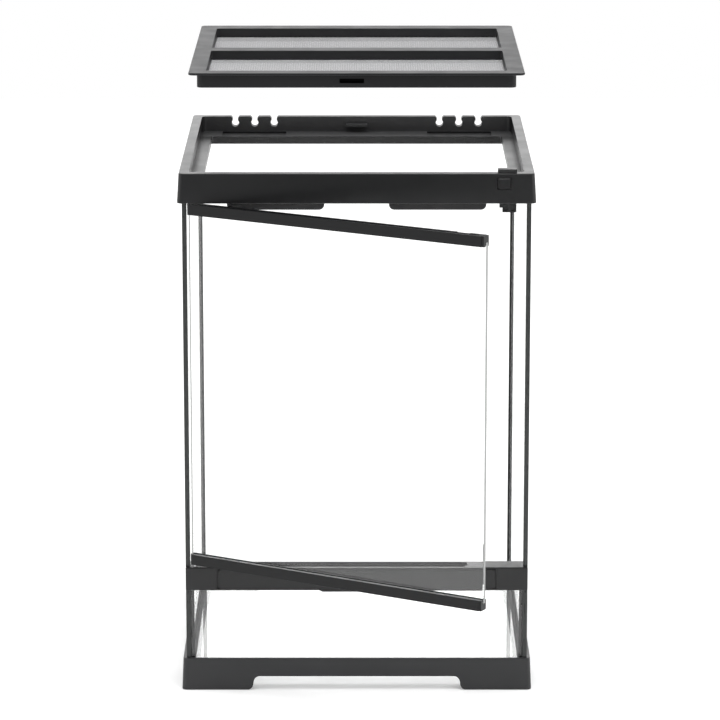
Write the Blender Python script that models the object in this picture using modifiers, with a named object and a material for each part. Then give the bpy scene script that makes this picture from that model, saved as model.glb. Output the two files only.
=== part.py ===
# Glass terrarium with a swinging front door, a lift-off mesh lid and plastic frames.
# Metres, +Z up, and the door faces -Y.
# The pieces stand as photographed: the door ajar and the lid lifted clear of the tank.
# The origin is on the floor under the middle of the whole, which the open door makes deeper at
# the front. The pieces are placed from the middle of the tank, and one empty carries them all.

import math

import bmesh
import bpy
from mathutils import Matrix, Vector

# Overall sizes
TANK_WIDTH = 0.300
TANK_DEPTH = 0.300
TANK_HEIGHT = 0.450

# How far the door stands open and how high the lid is held
DOOR_OPEN = math.radians(29.4)
LID_LIFT = 0.083

# Clearances
GAP = 0.0003
LID_GAP = 0.0004
DOOR_RISE = 0.0008

# How far a cutter runs past a face, and how far a block reaches into the one that it joins
PAST = 0.010
BITE = 0.0005

# Glass
GLASS = 0.004
GLASS_INSET = 0.004
GLASS_EDGE = 0.0004
PANE_EASE = 0.0007
FRONT_GLASS_SET = 0.001
FRONT_GLASS_BITE = 0.0032

# Base frame
BASE_HEIGHT = 0.028
BASE_DRAFT = 0.0012
BASE_WALL = 0.0032
BASE_SHELF = 0.014
BASE_SHELF_TOP = 0.0140
BASE_SHELF_THICK = 0.0025
BASE_INNER_WALL = 0.0026
BASE_EDGE = 0.0007
BASE_POCKET_RADIUS = 0.0008
BASE_HOLE_RADIUS = 0.004
BASE_CHANNEL_RADIUS = 0.002
CORNER_RADIUS = 0.004
ARCH_HEIGHT = 0.012
ARCH_TOE = 0.0562
ARCH_CURVE = 0.0102

# Top frame
TOP_HEIGHT = 0.0252
TOP_DRAFT = 0.0015
TOP_EDGE = 0.0008
RIM_INNER_WALL = 0.0014
RIM_TOP_WALL = 0.0032
LEDGE_DROP = 0.0135
LEDGE_LIP_HEIGHT = 0.0061
LEDGE_THICK = 0.0023
LIP_THICK = 0.0022
SIDE_LEDGE = 0.0095
REAR_LEDGE = 0.0283
FRONT_LEDGE = 0.0240
OPENING_RADIUS = 0.0025
RECESS_RADIUS = 0.005
PANE_WALL = 0.0018
FRONT_ROOF = 0.0030
FRONT_BACK_WALL = 0.0020
FRONT_HOLLOW_FRONT = 0.0040
HINGE_BOSS = 0.020
LATCH_BOSS = 0.022

# Lid
FLANGE_THICK = 0.0020
LID_EDGE = 0.0006
SKIRT_INSET = 0.0069
SKIRT_WALL = 0.0020
SKIRT_RADIUS = 0.005
WINDOW_WALL = 0.0020
WINDOW_SIDE = 0.0144
WINDOW_REAR = 0.0189
LID_BAR = 0.018
LID_BAR_PLACE = -0.0045
WINDOW_RADIUS = 0.002
MESH_DEPTH = 0.0075
MESH_THICK = 0.0008
MESH_LAP = 0.0022
MESH_CLAMP = 0.0018
MESH_CELLS = (13, 7)
MESH_WIRE = 0.0024

# Lid catches: a tab on the rear wall and one on the front wall, and their slots in the skirt
CATCH_WIDTH = 0.0194
CATCH_HEIGHT = 0.0024
CATCH_DROP = 0.0063
CATCH_CLEAR = 0.0006
FRONT_CATCH_PLACE = -0.004
SLOT_SIDE_CLEAR = 0.0005
SLOT_HEIGHT_CLEAR = 0.0007
SLOT_RADIUS = 0.0004
HOOD_DEPTH = 0.0024
HOOD_WALL = 0.0010

# Cable notches and the gates that close them
NOTCH_PITCH = 0.0176
NOTCH_RADIUS = 0.0034
NOTCH_NECK = 0.0048
NOTCH_MOUTH = 0.0079
NOTCH_FLARE = 0.0020
NOTCH_DROP = 0.0060
NOTCHES = 3
GATE_FROM_SIDE = 0.0574
GATE_WINDOW = 0.0578
GATE_END = 0.0035
GATE_TRAVEL = 0.0088
GATE_PLATE = 0.0026
GATE_FOOT = 0.0017
GATE_COVER = 0.0018
GATE_SLOT_LENGTH = 0.0050
GATE_SLOT_WIDTH = 0.0016
GATE_SLOT_BACK = 0.0020
GATE_ROOF = 0.0023
GATE_FOOT_SET = 0.0020
GATE_VIEW_FRONT = 0.0030
GATE_VIEW_BACK = 0.0022
GATE_VIEW_RADIUS = 0.0008
LEDGE_LINE_SIDE = 0.0042
LEDGE_LINE_WIDTH = 0.0008
LEDGE_LINE_DEPTH = 0.0006
LEDGE_LINE_LOW = 0.0015
LEDGE_LINE_HIGH = 0.0010

# Vent bar under the door
BAR_BOTTOM = 0.0888
BAR_HEIGHT = 0.0204
BAR_FRONT_SET = 0.0006
BAR_DEPTH = 0.0194
BAR_END = 0.0266
BAR_EDGE = 0.0008
BAR_OVERLAP = 0.0015
COVER_THICK = 0.0021
COVER_END_GAP = 0.0011
COVER_MARGIN = 0.0016
COVER_RADIUS = 0.003
COVER_EDGE = 0.0005
VENT_LENGTH = 0.190
VENT_WIDTH = 0.0140
VENT_RADIUS = 0.002
VENT_SET = 0.0005
VENT_STEP = 0.0016
VENT_SEAT = 0.0020
VENT_FLOOR = 0.0050
VENT_CORE_RADIUS = 0.001
VENT_MESH_THICK = 0.0006
VENT_MESH_CELLS = (26, 2)
VENT_MESH_WIRE = 0.0016
VENT_MESH_EASE = 0.0006
INLETS = 9
INLET_LENGTH = 0.0150
INLET_HEIGHT = 0.0050
INLET_SILL = 0.0052
INLET_MARGIN = 0.0060
INLET_REACH = 0.0040
LIP_LENGTH = 0.064
LIP_DROP = 0.0013
LIP_SET = 0.0004
LIP_ROOT = 0.001

# Door
RAIL_HEIGHT = 0.009
RAIL_DEPTH = 0.009
RAIL_SET = 0.0004
RAIL_BITE = 0.0032
RAIL_EDGE = 0.0005
RAIL_HEEL = 0.002
RAIL_GROOVE = 0.0026
RAIL_GROOVE_DEPTH = 0.0012
RAIL_GROOVE_SET = 0.0010
RAIL_GROOVE_END = 0.0060
LOW_RAIL_RISE = 0.0014
DOOR_FREE_GAP = 0.0030
END_CAP = 0.0018
END_CAP_RADIUS = 0.001
PIN_RADIUS = 0.0015
HINGE_CLEAR = 0.0005
PIN_BEHIND_FRONT = 0.0035
PIN_GRIP = 0.0046
PIN_REACH = 0.0060
PIN_CHAMFER = 0.0003
BUSH_WALL = 0.0010
BUSH_BED = 0.0008
BUSH_OVER = 0.0004
BUSH_SET = 0.0001
DOOR_GLASS_BACK = 0.0012

# Door stops under the top frame
STOP_FROM_SIDE = 0.0415
STOP_LENGTH = 0.0815
STOP_DROP = 0.0070
STOP_THICK = 0.0020
STOP_RADIUS = 0.0045
STOP_CLEAR = 0.0004

# Latch, button and lock slider
BUTTON_WIDTH = 0.0108
BUTTON_HEIGHT = 0.0089
BUTTON_DEPTH = 0.0044
BUTTON_PROUD = 0.0007
BUTTON_DROP = 0.0084
BUTTON_FROM_SIDE = 0.0270
BUTTON_TRAVEL = 0.0025
BUTTON_CLEAR = 0.00035
BUTTON_RADIUS = 0.0006
BUTTON_EDGE = 0.0003
STEM_WIDTH = 0.0052
STEM_HEIGHT = 0.0054
STEM_ROOT = 0.001
LATCH_FROM_SIDE = 0.0222
LATCH_WIDTH = 0.0117
LATCH_THICK = 0.0030
LATCH_HANG = 0.0092
LATCH_RIB = 0.0023
LATCH_DIP = 0.0012
LATCH_EDGE = 0.0004
LATCH_CLEAR = 0.0004
LATCH_HEADROOM = 0.0006
LATCH_BORDER = 0.0010
LATCH_SILL = 0.0014
LATCH_BROW = 0.0006
NOSE_WIDTH = 0.0026
NOSE_LENGTH = 0.0020
NOSE_HEIGHT = 0.0030
NOSE_DROP = 0.0018
NOSE_ROOT = 0.0006
BOSS_LEFT = 0.0070
BOSS_RIGHT = 0.0020
BOSS_CLEAR = 0.0006
POCKET_WIDTH = 0.0120
POCKET_CLEAR = 0.0006
SPRING_RADIUS = 0.0026
SPRING_WIRE = 0.00035
SPRING_TURNS = 6
SPRING_LENGTH = 0.0146
SPRING_RISE = 0.0057
SPRING_CLEAR = 0.0004
LATCH_COVER_HALF = 0.0092
LATCH_COVER_DEPTH = 0.0142
LATCH_COVER_THICK = 0.0018
LATCH_COVER_CLEAR = 0.0006
KNOB_WIDTH = 0.0162
KNOB_DEPTH = 0.0072
KNOB_HEIGHT = 0.0034
KNOB_FROM_SIDE = 0.0242
KNOB_RADIUS = 0.0008
KNOB_EDGE = 0.0004
LOCK_TRAVEL = 0.006
LOCK_FOOT = 0.0036
LOCK_STEM = 0.0012
LOCK_BARB = 0.0021
LOCK_BESIDE = 0.0009
LOCK_ROOF = 0.0027
LOCK_SLOT_FLOOR = 0.0040
LOCK_BARB_DROP = 0.0034

# Silicone beads
BEAD = 0.0030
BEAD_HOLLOW = 0.9
FLOOR_BEAD = 0.0028
FLOOR_BEAD_LIP = 0.0003

# Colours
CHARCOAL = (0.045, 0.046, 0.050)
BLACK = (0.012, 0.012, 0.013)
CLEAR = (0.86, 0.93, 0.90)
STEEL = (0.45, 0.45, 0.46)

# Faces and levels that many pieces share
HALF_WIDTH = TANK_WIDTH / 2
HALF_DEPTH = TANK_DEPTH / 2
PANE_X = HALF_WIDTH - GLASS_INSET
PANE_Y = HALF_DEPTH - GLASS_INSET
PANE_BOTTOM = BASE_SHELF_TOP + GAP
TOP_BOTTOM = TANK_HEIGHT - TOP_HEIGHT
LEDGE_TOP = TANK_HEIGHT - LEDGE_DROP
LEDGE_BOTTOM = LEDGE_TOP - LEDGE_LIP_HEIGHT
RECESS_X = PANE_X - GLASS - GAP - RIM_INNER_WALL
RECESS_Y = PANE_Y - GLASS - GAP - RIM_INNER_WALL
GATE_FRONT = RECESS_Y + RIM_INNER_WALL + 2 * GAP
PANE_TOP = TANK_HEIGHT - RIM_TOP_WALL - GAP
GATE_BOTTOM = LEDGE_TOP - GATE_COVER - GATE_FOOT
REAR_PANE_TOP = GATE_BOTTOM - 2 * GAP
BAR_TOP = BAR_BOTTOM + BAR_HEIGHT
BAR_FRONT = -HALF_DEPTH + BAR_FRONT_SET
BAR_BACK = BAR_FRONT + BAR_DEPTH
RAIL_FRONT = -HALF_DEPTH + RAIL_SET
RAIL_BACK = RAIL_FRONT + RAIL_DEPTH
PIN_X = -PANE_X + GLASS + HINGE_CLEAR + PIN_BEHIND_FRONT
PIN_Y = RAIL_FRONT + PIN_BEHIND_FRONT
TOP_RAIL_TOP = TOP_BOTTOM - DOOR_RISE
BOTTOM_RAIL_BOTTOM = BAR_TOP + DOOR_RISE + LOW_RAIL_RISE
DOOR_END = PANE_X - GLASS - DOOR_FREE_GAP
LATCH_X = HALF_WIDTH - LATCH_FROM_SIDE
LATCH_FRONT = RAIL_BACK + LATCH_CLEAR
LATCH_BACK = LATCH_FRONT + LATCH_THICK
BUTTON_X = HALF_WIDTH - BUTTON_FROM_SIDE
BUTTON_Z = TANK_HEIGHT - BUTTON_DROP
FLANGE_X = RECESS_X - LID_GAP
FLANGE_Y = RECESS_Y - LID_GAP
SKIRT_X = FLANGE_X - SKIRT_INSET
SKIRT_Y = FLANGE_Y - SKIRT_INSET
CATCH_Z = TANK_HEIGHT - CATCH_DROP - CATCH_HEIGHT / 2
BUSH_HOLE = PIN_RADIUS + 2 * GAP + BUSH_WALL
LOW_GLASS_FRONT = -PANE_Y + FRONT_GLASS_SET
LOW_GLASS_BACK = LOW_GLASS_FRONT + GLASS
DOOR_REACH = (DOOR_END - PIN_X) * math.sin(DOOR_OPEN) + PIN_BEHIND_FRONT * math.cos(DOOR_OPEN)
WHOLE_FRONT = PIN_Y - DOOR_REACH
TANK_MIDDLE = -(WHOLE_FRONT + HALF_DEPTH) / 2


def clear_scene():
    for item in list(bpy.data.objects):
        bpy.data.objects.remove(item, do_unlink=True)


def new_collection(name):
    made = bpy.data.collections.new(name)
    bpy.context.scene.collection.children.link(made)
    return made


def material(name, colour, roughness, metallic=0.0, see_through=0.0):
    made = bpy.data.materials.new(name)
    made.use_nodes = True
    shader = made.node_tree.nodes["Principled BSDF"]
    shader.inputs["Base Color"].default_value = (*colour, 1.0)
    shader.inputs["Roughness"].default_value = roughness
    shader.inputs["Metallic"].default_value = metallic
    shader.inputs["Transmission Weight"].default_value = see_through
    return made


def from_bmesh(name, work, collection, finish=None):
    mesh = bpy.data.meshes.new(name)
    work.to_mesh(mesh)
    work.free()
    made = bpy.data.objects.new(name, mesh)
    collection.objects.link(made)
    if finish:
        mesh.materials.append(finish)
    return made


# A box between two corners
def box_bmesh(low, high):
    work = bmesh.new()
    bmesh.ops.create_cube(work, size=1.0)
    size = Vector(high) - Vector(low)
    middle = (Vector(high) + Vector(low)) / 2
    bmesh.ops.scale(work, vec=size, verts=work.verts)
    bmesh.ops.translate(work, vec=middle, verts=work.verts)
    return work


# The edges of a bmesh that run along one axis
def edges_along(work, axis):
    found = []
    for edge in work.edges:
        way = edge.verts[1].co - edge.verts[0].co
        others = [abs(way[i]) for i in range(3) if i != axis]
        if max(others) < 0.2 * abs(way[axis]):
            found.append(edge)
    return found


# A box whose edges along one axis are rounded
def rounded_bmesh(low, high, radius, axis=2, segments=5):
    work = box_bmesh(low, high)
    bmesh.ops.bevel(
        work, geom=edges_along(work, axis), offset=radius, segments=segments,
        affect="EDGES", profile=0.5, material=-1,
    )
    return work


def block(name, low, high, finish, radius=0.0, axis=2, segments=5):
    if radius > 0:
        work = rounded_bmesh(low, high, radius, axis, segments)
    else:
        work = box_bmesh(low, high)
    return from_bmesh(name, work, PARTS, finish)


# A block with draft: its top is smaller than its bottom, and its upright edges are rounded
def drafted_block(name, half_x, half_y, bottom, top, draft, finish):
    work = box_bmesh((-half_x, -half_y, bottom), (half_x, half_y, top))
    upper = [v for v in work.verts if v.co.z > (bottom + top) / 2]
    shrink = ((half_x - draft) / half_x, (half_y - draft) / half_y, 1.0)
    bmesh.ops.scale(work, vec=shrink, verts=upper)
    bmesh.ops.bevel(
        work, geom=edges_along(work, 2), offset=CORNER_RADIUS, segments=6,
        affect="EDGES", profile=0.5, material=-1,
    )
    return from_bmesh(name, work, PARTS, finish)


# Rounds the sharp edges of a piece before anything is cut from it
def soften(piece, width, segments=2):
    bevel = piece.modifiers.new("soft edges", "BEVEL")
    bevel.width = width
    bevel.segments = segments
    bevel.limit_method = "ANGLE"
    bevel.angle_limit = math.radians(50)
    bevel.use_clamp_overlap = True


def as_cutter(tool):
    tool.hide_render = True
    tool.display_type = "WIRE"
    return tool


def cutter_block(low, high, radius=0.0, axis=2, segments=5):
    if radius > 0:
        work = rounded_bmesh(low, high, radius, axis, segments)
    else:
        work = box_bmesh(low, high)
    return as_cutter(from_bmesh("cutter", work, CUTTERS))


# A round cutter along Y or Z from a start point
def cutter_rod(start, length, radius, axis=2, sides=24):
    work = bmesh.new()
    bmesh.ops.create_cone(
        work, cap_ends=True, segments=sides, radius1=radius, radius2=radius, depth=length
    )
    bmesh.ops.translate(work, vec=(0, 0, length / 2), verts=work.verts)
    if axis == 1:
        bmesh.ops.rotate(work, matrix=Matrix.Rotation(-math.pi / 2, 3, "X"), verts=work.verts)
    bmesh.ops.translate(work, vec=start, verts=work.verts)
    return as_cutter(from_bmesh("cutter", work, CUTTERS))


def boolean(piece, tool, operation):
    change = piece.modifiers.new(operation.lower(), "BOOLEAN")
    change.operation = operation
    change.solver = "EXACT"
    change.object = tool


def cut(piece, *tools):
    for tool in tools:
        boolean(piece, tool, "DIFFERENCE")


def join(piece, *tools):
    for tool in tools:
        boolean(piece, tool, "UNION")


# A curve as a closed mesh, with its caps joined on
def curve_bmesh(curve):
    holder = bpy.data.objects.new("curve", curve)
    bpy.context.scene.collection.objects.link(holder)
    graph = bpy.context.evaluated_depsgraph_get()
    mesh = bpy.data.meshes.new_from_object(holder.evaluated_get(graph))
    bpy.data.objects.remove(holder, do_unlink=True)
    work = bmesh.new()
    work.from_mesh(mesh)
    bpy.data.meshes.remove(mesh)
    bmesh.ops.remove_doubles(work, verts=work.verts, dist=0.00001)
    bmesh.ops.recalc_face_normals(work, faces=work.faces)
    return work


# A flat outline in the XY plane, given thickness along Z
def outline_mesh(points, thickness):
    curve = bpy.data.curves.new("outline", "CURVE")
    curve.dimensions = "2D"
    curve.fill_mode = "BOTH"
    curve.extrude = thickness / 2
    line = curve.splines.new("POLY")
    line.points.add(len(points) - 1)
    for place, (x, y) in zip(line.points, points):
        place.co = (x, y, 0.0, 1.0)
    line.use_cyclic_u = True
    return curve_bmesh(curve)


# An outline drawn in X and Z and given thickness along Y, from one face to the other
def standing_outline(points, front, back):
    work = outline_mesh(points, back - front)
    bmesh.ops.rotate(work, matrix=Matrix.Rotation(math.pi / 2, 3, "X"), verts=work.verts)
    bmesh.ops.translate(work, vec=(0, (front + back) / 2, 0), verts=work.verts)
    return work


def arc(centre_x, centre_y, radius_x, radius_y, start, end, steps):
    points = []
    for i in range(steps + 1):
        angle = math.radians(start + (end - start) * i / steps)
        points.append((centre_x + radius_x * math.cos(angle), centre_y + radius_y * math.sin(angle)))
    return points


# Two distances from the middle, on one side of it, in rising order
def across(side, near, far):
    return tuple(sorted((side * near, side * far)))


# A flat net: a grid of square gaps in a thin sheet
def net_bmesh(low, high, cells, wire, bottom, thickness):
    work = bmesh.new()
    bmesh.ops.create_grid(work, x_segments=cells[0], y_segments=cells[1], size=0.5)
    size = (high[0] - low[0], high[1] - low[1], 1.0)
    bmesh.ops.scale(work, vec=size, verts=work.verts)
    middle = ((high[0] + low[0]) / 2, (high[1] + low[1]) / 2, bottom)
    bmesh.ops.translate(work, vec=middle, verts=work.verts)
    cells_now = list(work.faces)
    bmesh.ops.inset_individual(work, faces=cells_now, thickness=wire / 2, use_even_offset=True)
    bmesh.ops.delete(work, geom=cells_now, context="FACES")
    sheet = list(work.faces)
    risen = bmesh.ops.extrude_face_region(work, geom=sheet)
    lifted = [item for item in risen["geom"] if isinstance(item, bmesh.types.BMVert)]
    bmesh.ops.translate(work, vec=(0, 0, thickness), verts=lifted)
    bmesh.ops.recalc_face_normals(work, faces=work.faces)
    return work


# A turned tube or rod: its profile runs down the outer side and is swept by a Screw modifier
def turned(name, profile, place, finish, steps=24):
    work = bmesh.new()
    rings = [work.verts.new((radius, 0.0, height)) for radius, height in profile]
    for first, second in zip(rings, rings[1:]):
        work.edges.new((first, second))
    if profile[0][0] > 0 and profile[-1][0] > 0:
        work.edges.new((rings[-1], rings[0]))
    made = from_bmesh(name, work, PARTS, finish)
    made.location = place
    screw = made.modifiers.new("turn", "SCREW")
    screw.steps = steps
    screw.render_steps = steps
    screw.use_merge_vertices = True
    screw.merge_threshold = 0.00001
    screw.use_smooth_shade = True
    return made


def empty(name, place):
    made = bpy.data.objects.new(name, None)
    made.location = place
    made.empty_display_size = 0.02
    bpy.context.scene.collection.objects.link(made)
    return made


# The cutters of a piece, and the cutters that shape those
def tools_of(piece):
    found = []
    for change in piece.modifiers:
        if change.type == "BOOLEAN":
            found.append(change.object)
            found += tools_of(change.object)
    return found


# Hangs pieces modelled in world coordinates on an empty, with their cutters, without moving them
def hang_on(carrier, *pieces):
    carried = set()
    for piece in pieces:
        carried.add(piece)
        carried.update(tools_of(piece))
    for item in carried:
        item.location = item.location - carrier.location
        item.parent = carrier


# Puts the whole tank, with its cutters, on one empty
def stand_on(middle):
    for item in list(bpy.data.objects):
        if item.parent is None and item != middle:
            item.parent = middle


def make_base_frame(finish):
    frame = drafted_block("base_frame", HALF_WIDTH, HALF_DEPTH, 0.0, BASE_HEIGHT, BASE_DRAFT, finish)
    soften(frame, BASE_EDGE)
    pocket_x = PANE_X + GAP
    pocket_y = PANE_Y + GAP
    over = BASE_HEIGHT + PAST
    pocket = cutter_block(
        (-pocket_x, -pocket_y, BASE_SHELF_TOP), (pocket_x, pocket_y, over),
        BASE_POCKET_RADIUS, 2, 3,
    )
    hole_x = HALF_WIDTH - BASE_SHELF
    hole_y = HALF_DEPTH - BASE_SHELF
    hole = cutter_block((-hole_x, -hole_y, -PAST), (hole_x, hole_y, over), BASE_HOLE_RADIUS)
    cut(frame, pocket, hole)
    outer_x = HALF_WIDTH - BASE_WALL
    outer_y = HALF_DEPTH - BASE_WALL
    inner_x = hole_x + BASE_INNER_WALL
    inner_y = hole_y + BASE_INNER_WALL
    channel = cutter_block(
        (-outer_x, -outer_y, -PAST),
        (outer_x, outer_y, BASE_SHELF_TOP - BASE_SHELF_THICK), BASE_CHANNEL_RADIUS, 2, 3,
    )
    island = cutter_block(
        (-inner_x, -inner_y, -2 * PAST), (inner_x, inner_y, over),
        BASE_HOLE_RADIUS + BASE_INNER_WALL, 2, 3,
    )
    cut(channel, island)
    cut(frame, channel)
    for half, turn in ((HALF_WIDTH, 0.0), (HALF_DEPTH, math.pi / 2)):
        toe = half - ARCH_TOE
        reach = max(HALF_WIDTH, HALF_DEPTH) + PAST
        arch = as_cutter(from_bmesh("cutter", arch_bmesh(toe, reach), CUTTERS))
        arch.rotation_euler = (0, 0, turn)
        cut(frame, arch)
    return frame


# The low arch between two feet, with a round toe and a round shoulder at each side
def arch_bmesh(toe, reach):
    half_curve = ARCH_CURVE / 2
    half_height = ARCH_HEIGHT / 2
    right = [(toe, -PAST)]
    right += arc(toe, half_height, half_curve, half_height, 270, 180, 5)
    right += arc(toe - ARCH_CURVE, half_height, half_curve, half_height, 0, 90, 5)[1:]
    left = [(-x, z) for x, z in reversed(right)]
    return standing_outline(right + left, -reach, reach)


def make_floor_glass(finish):
    half_x = PANE_X - GLASS - GAP
    back = PANE_Y - GLASS - GAP
    return block(
        "floor_glass", (-half_x, LOW_GLASS_BACK + GAP, PANE_BOTTOM),
        (half_x, back, PANE_BOTTOM + GLASS), finish,
    )


def make_walls(finish):
    for name, side in (("left_glass", -1), ("right_glass", 1)):
        low_x, high_x = across(side, PANE_X - GLASS, PANE_X)
        block(
            name, (low_x, -PANE_Y, PANE_BOTTOM), (high_x, PANE_Y, PANE_TOP),
            finish, GLASS_EDGE, 2, 1,
        )
    half_x = PANE_X - GLASS - GAP
    block(
        "rear_glass", (-half_x, PANE_Y - GLASS, PANE_BOTTOM), (half_x, PANE_Y, REAR_PANE_TOP),
        finish,
    )
    block(
        "front_lower_glass", (-half_x, LOW_GLASS_FRONT, PANE_BOTTOM),
        (half_x, LOW_GLASS_BACK, BAR_BOTTOM + FRONT_GLASS_BITE), finish,
    )


# The silicone fillets inside the glass corners
def make_seals(finish):
    inner_x = PANE_X - GLASS - GAP
    inner_back = PANE_Y - GLASS - GAP
    inner_front = LOW_GLASS_BACK + GAP
    floor_top = PANE_BOTTOM + GLASS + GAP
    bead_foot = floor_top + FLOOR_BEAD + GAP
    rear_top = TOP_BOTTOM - GAP
    front_top = BAR_BOTTOM - GAP
    corners = (
        ("seal_rear_left", -1, inner_back, -1, rear_top),
        ("seal_rear_right", 1, inner_back, -1, rear_top),
        ("seal_front_left", -1, inner_front, 1, front_top),
        ("seal_front_right", 1, inner_front, 1, front_top),
    )
    for name, side, wall_y, inward, top in corners:
        corner_x = side * inner_x
        centre_x = corner_x - side * BEAD
        centre_y = wall_y + inward * BEAD
        hollow = arc(0, 0, BEAD, BEAD, 0, 90, 5)
        points = [(corner_x, wall_y)]
        for x, y in hollow:
            points.append((
                centre_x + side * BEAD_HOLLOW * x, centre_y - inward * BEAD_HOLLOW * y
            ))
        points.insert(1, (corner_x, centre_y))
        points.append((centre_x, wall_y))
        work = outline_mesh(points, top - bead_foot)
        bmesh.ops.translate(work, vec=(0, 0, (top + bead_foot) / 2), verts=work.verts)
        from_bmesh(name, work, PARTS, finish)
    bead = block(
        "floor_seal", (-inner_x, inner_front, floor_top),
        (inner_x, inner_back, floor_top + FLOOR_BEAD), finish,
    )
    room_x = inner_x - FLOOR_BEAD
    room_front = inner_front + FLOOR_BEAD
    room_back = inner_back - FLOOR_BEAD
    room = box_bmesh(
        (-room_x, room_front, floor_top - BITE), (room_x, room_back, floor_top + PAST)
    )
    flare = [v for v in room.verts if v.co.z > floor_top]
    slope = (FLOOR_BEAD - FLOOR_BEAD_LIP) / (FLOOR_BEAD + BITE)
    grow = slope * (PAST + BITE)
    bmesh.ops.scale(
        room, vec=((room_x + grow) / room_x, (room_back + grow) / room_back, 1.0), verts=flare
    )
    cut(bead, as_cutter(from_bmesh("cutter", room, CUTTERS)))


def make_vent_bar(finish, cover_finish, mesh_finish):
    body_x = PANE_X - GLASS - GAP
    behind_panes = -PANE_Y - GAP
    bar = block(
        "vent_bar", (-PANE_X, BAR_FRONT, BAR_BOTTOM), (PANE_X, behind_panes, BAR_TOP), finish
    )
    soften(bar, BAR_EDGE)
    body = cutter_block(
        (-body_x, behind_panes - BAR_OVERLAP, BAR_BOTTOM), (body_x, BAR_BACK, BAR_TOP)
    )
    join(bar, body)
    half_lip = LIP_LENGTH / 2
    lip_points = [
        (-half_lip, BAR_BOTTOM + LIP_ROOT), (-half_lip, BAR_BOTTOM),
        (-half_lip + 2 * LIP_DROP, BAR_BOTTOM - LIP_DROP),
        (half_lip - 2 * LIP_DROP, BAR_BOTTOM - LIP_DROP),
        (half_lip, BAR_BOTTOM), (half_lip, BAR_BOTTOM + LIP_ROOT),
    ]
    lip = standing_outline(lip_points, BAR_FRONT + LIP_SET, behind_panes - LIP_SET / 2)
    join(bar, as_cutter(from_bmesh("cutter", lip, CUTTERS)))

    glass_slot = cutter_block(
        (-body_x - BITE, LOW_GLASS_FRONT - GAP, BAR_BOTTOM - PAST),
        (body_x + BITE, LOW_GLASS_BACK + GAP, BAR_BOTTOM + FRONT_GLASS_BITE + GAP),
    )
    cut(bar, glass_slot)

    recess_x = PANE_X - BAR_END
    recess_back = BAR_FRONT + COVER_THICK - BAR_FRONT_SET + GAP
    recess = cutter_block(
        (-recess_x, BAR_FRONT - PAST, BAR_BOTTOM + COVER_MARGIN - GAP),
        (recess_x, recess_back, BAR_TOP - COVER_MARGIN + GAP),
    )
    cut(bar, recess)
    cover_x = recess_x - COVER_END_GAP
    cover = block(
        "vent_cover", (-cover_x, -HALF_DEPTH, BAR_BOTTOM + COVER_MARGIN),
        (cover_x, -HALF_DEPTH + COVER_THICK, BAR_TOP - COVER_MARGIN),
        cover_finish, COVER_RADIUS, 1,
    )
    soften(cover, COVER_EDGE)

    vent_front = -PANE_Y + VENT_SET
    vent_back = vent_front + VENT_WIDTH
    rebate_floor = BAR_TOP - VENT_STEP
    half = VENT_LENGTH / 2
    rebate = cutter_block(
        (-half, vent_front, rebate_floor), (half, vent_back, BAR_TOP + PAST), VENT_RADIUS
    )
    chamber = cutter_block(
        (-half + VENT_SEAT, vent_front + VENT_SEAT, BAR_BOTTOM + VENT_FLOOR),
        (half - VENT_SEAT, vent_back - VENT_SEAT, BAR_TOP), VENT_CORE_RADIUS, 2, 2,
    )
    cut(bar, rebate, chamber)
    inlet_z = BAR_BOTTOM + INLET_SILL
    pitch = (VENT_LENGTH - 2 * INLET_MARGIN) / INLETS
    for i in range(INLETS):
        middle = (i - (INLETS - 1) / 2) * pitch
        inlet = cutter_block(
            (middle - INLET_LENGTH / 2, BAR_FRONT, inlet_z),
            (middle + INLET_LENGTH / 2, vent_front + INLET_REACH, inlet_z + INLET_HEIGHT),
        )
        cut(bar, inlet)
    ease = GAP + VENT_MESH_EASE
    net = net_bmesh(
        (-half + ease, vent_front + ease), (half - ease, vent_back - ease),
        VENT_MESH_CELLS, VENT_MESH_WIRE, rebate_floor + GAP, VENT_MESH_THICK,
    )
    from_bmesh("vent_mesh", net, PARTS, mesh_finish)
    seat_depth = PIN_REACH + BUSH_BED
    cut(bar, cutter_rod((PIN_X, PIN_Y, BAR_TOP - seat_depth), seat_depth + PAST, BUSH_HOLE))
    return bar


# The outline of one keyhole notch, open at the top, with its round seat below
def notch_points(middle, seat_z, top):
    open_half = math.degrees(math.asin(NOTCH_NECK / 2 / NOTCH_RADIUS))
    points = arc(middle, seat_z, NOTCH_RADIUS, NOTCH_RADIUS, 90 - open_half, -270 + open_half, 14)
    neck = NOTCH_NECK / 2
    mouth = NOTCH_MOUTH / 2
    rim = TANK_HEIGHT
    points += [
        (middle - neck, rim - NOTCH_FLARE), (middle - mouth, rim), (middle - mouth, top),
        (middle + mouth, top), (middle + mouth, rim), (middle + neck, rim - NOTCH_FLARE),
    ]
    return points


def notch_places(side):
    group = side * (HALF_WIDTH - GATE_FROM_SIDE)
    return [group + (i - (NOTCHES - 1) / 2) * NOTCH_PITCH for i in range(NOTCHES)]


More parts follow.
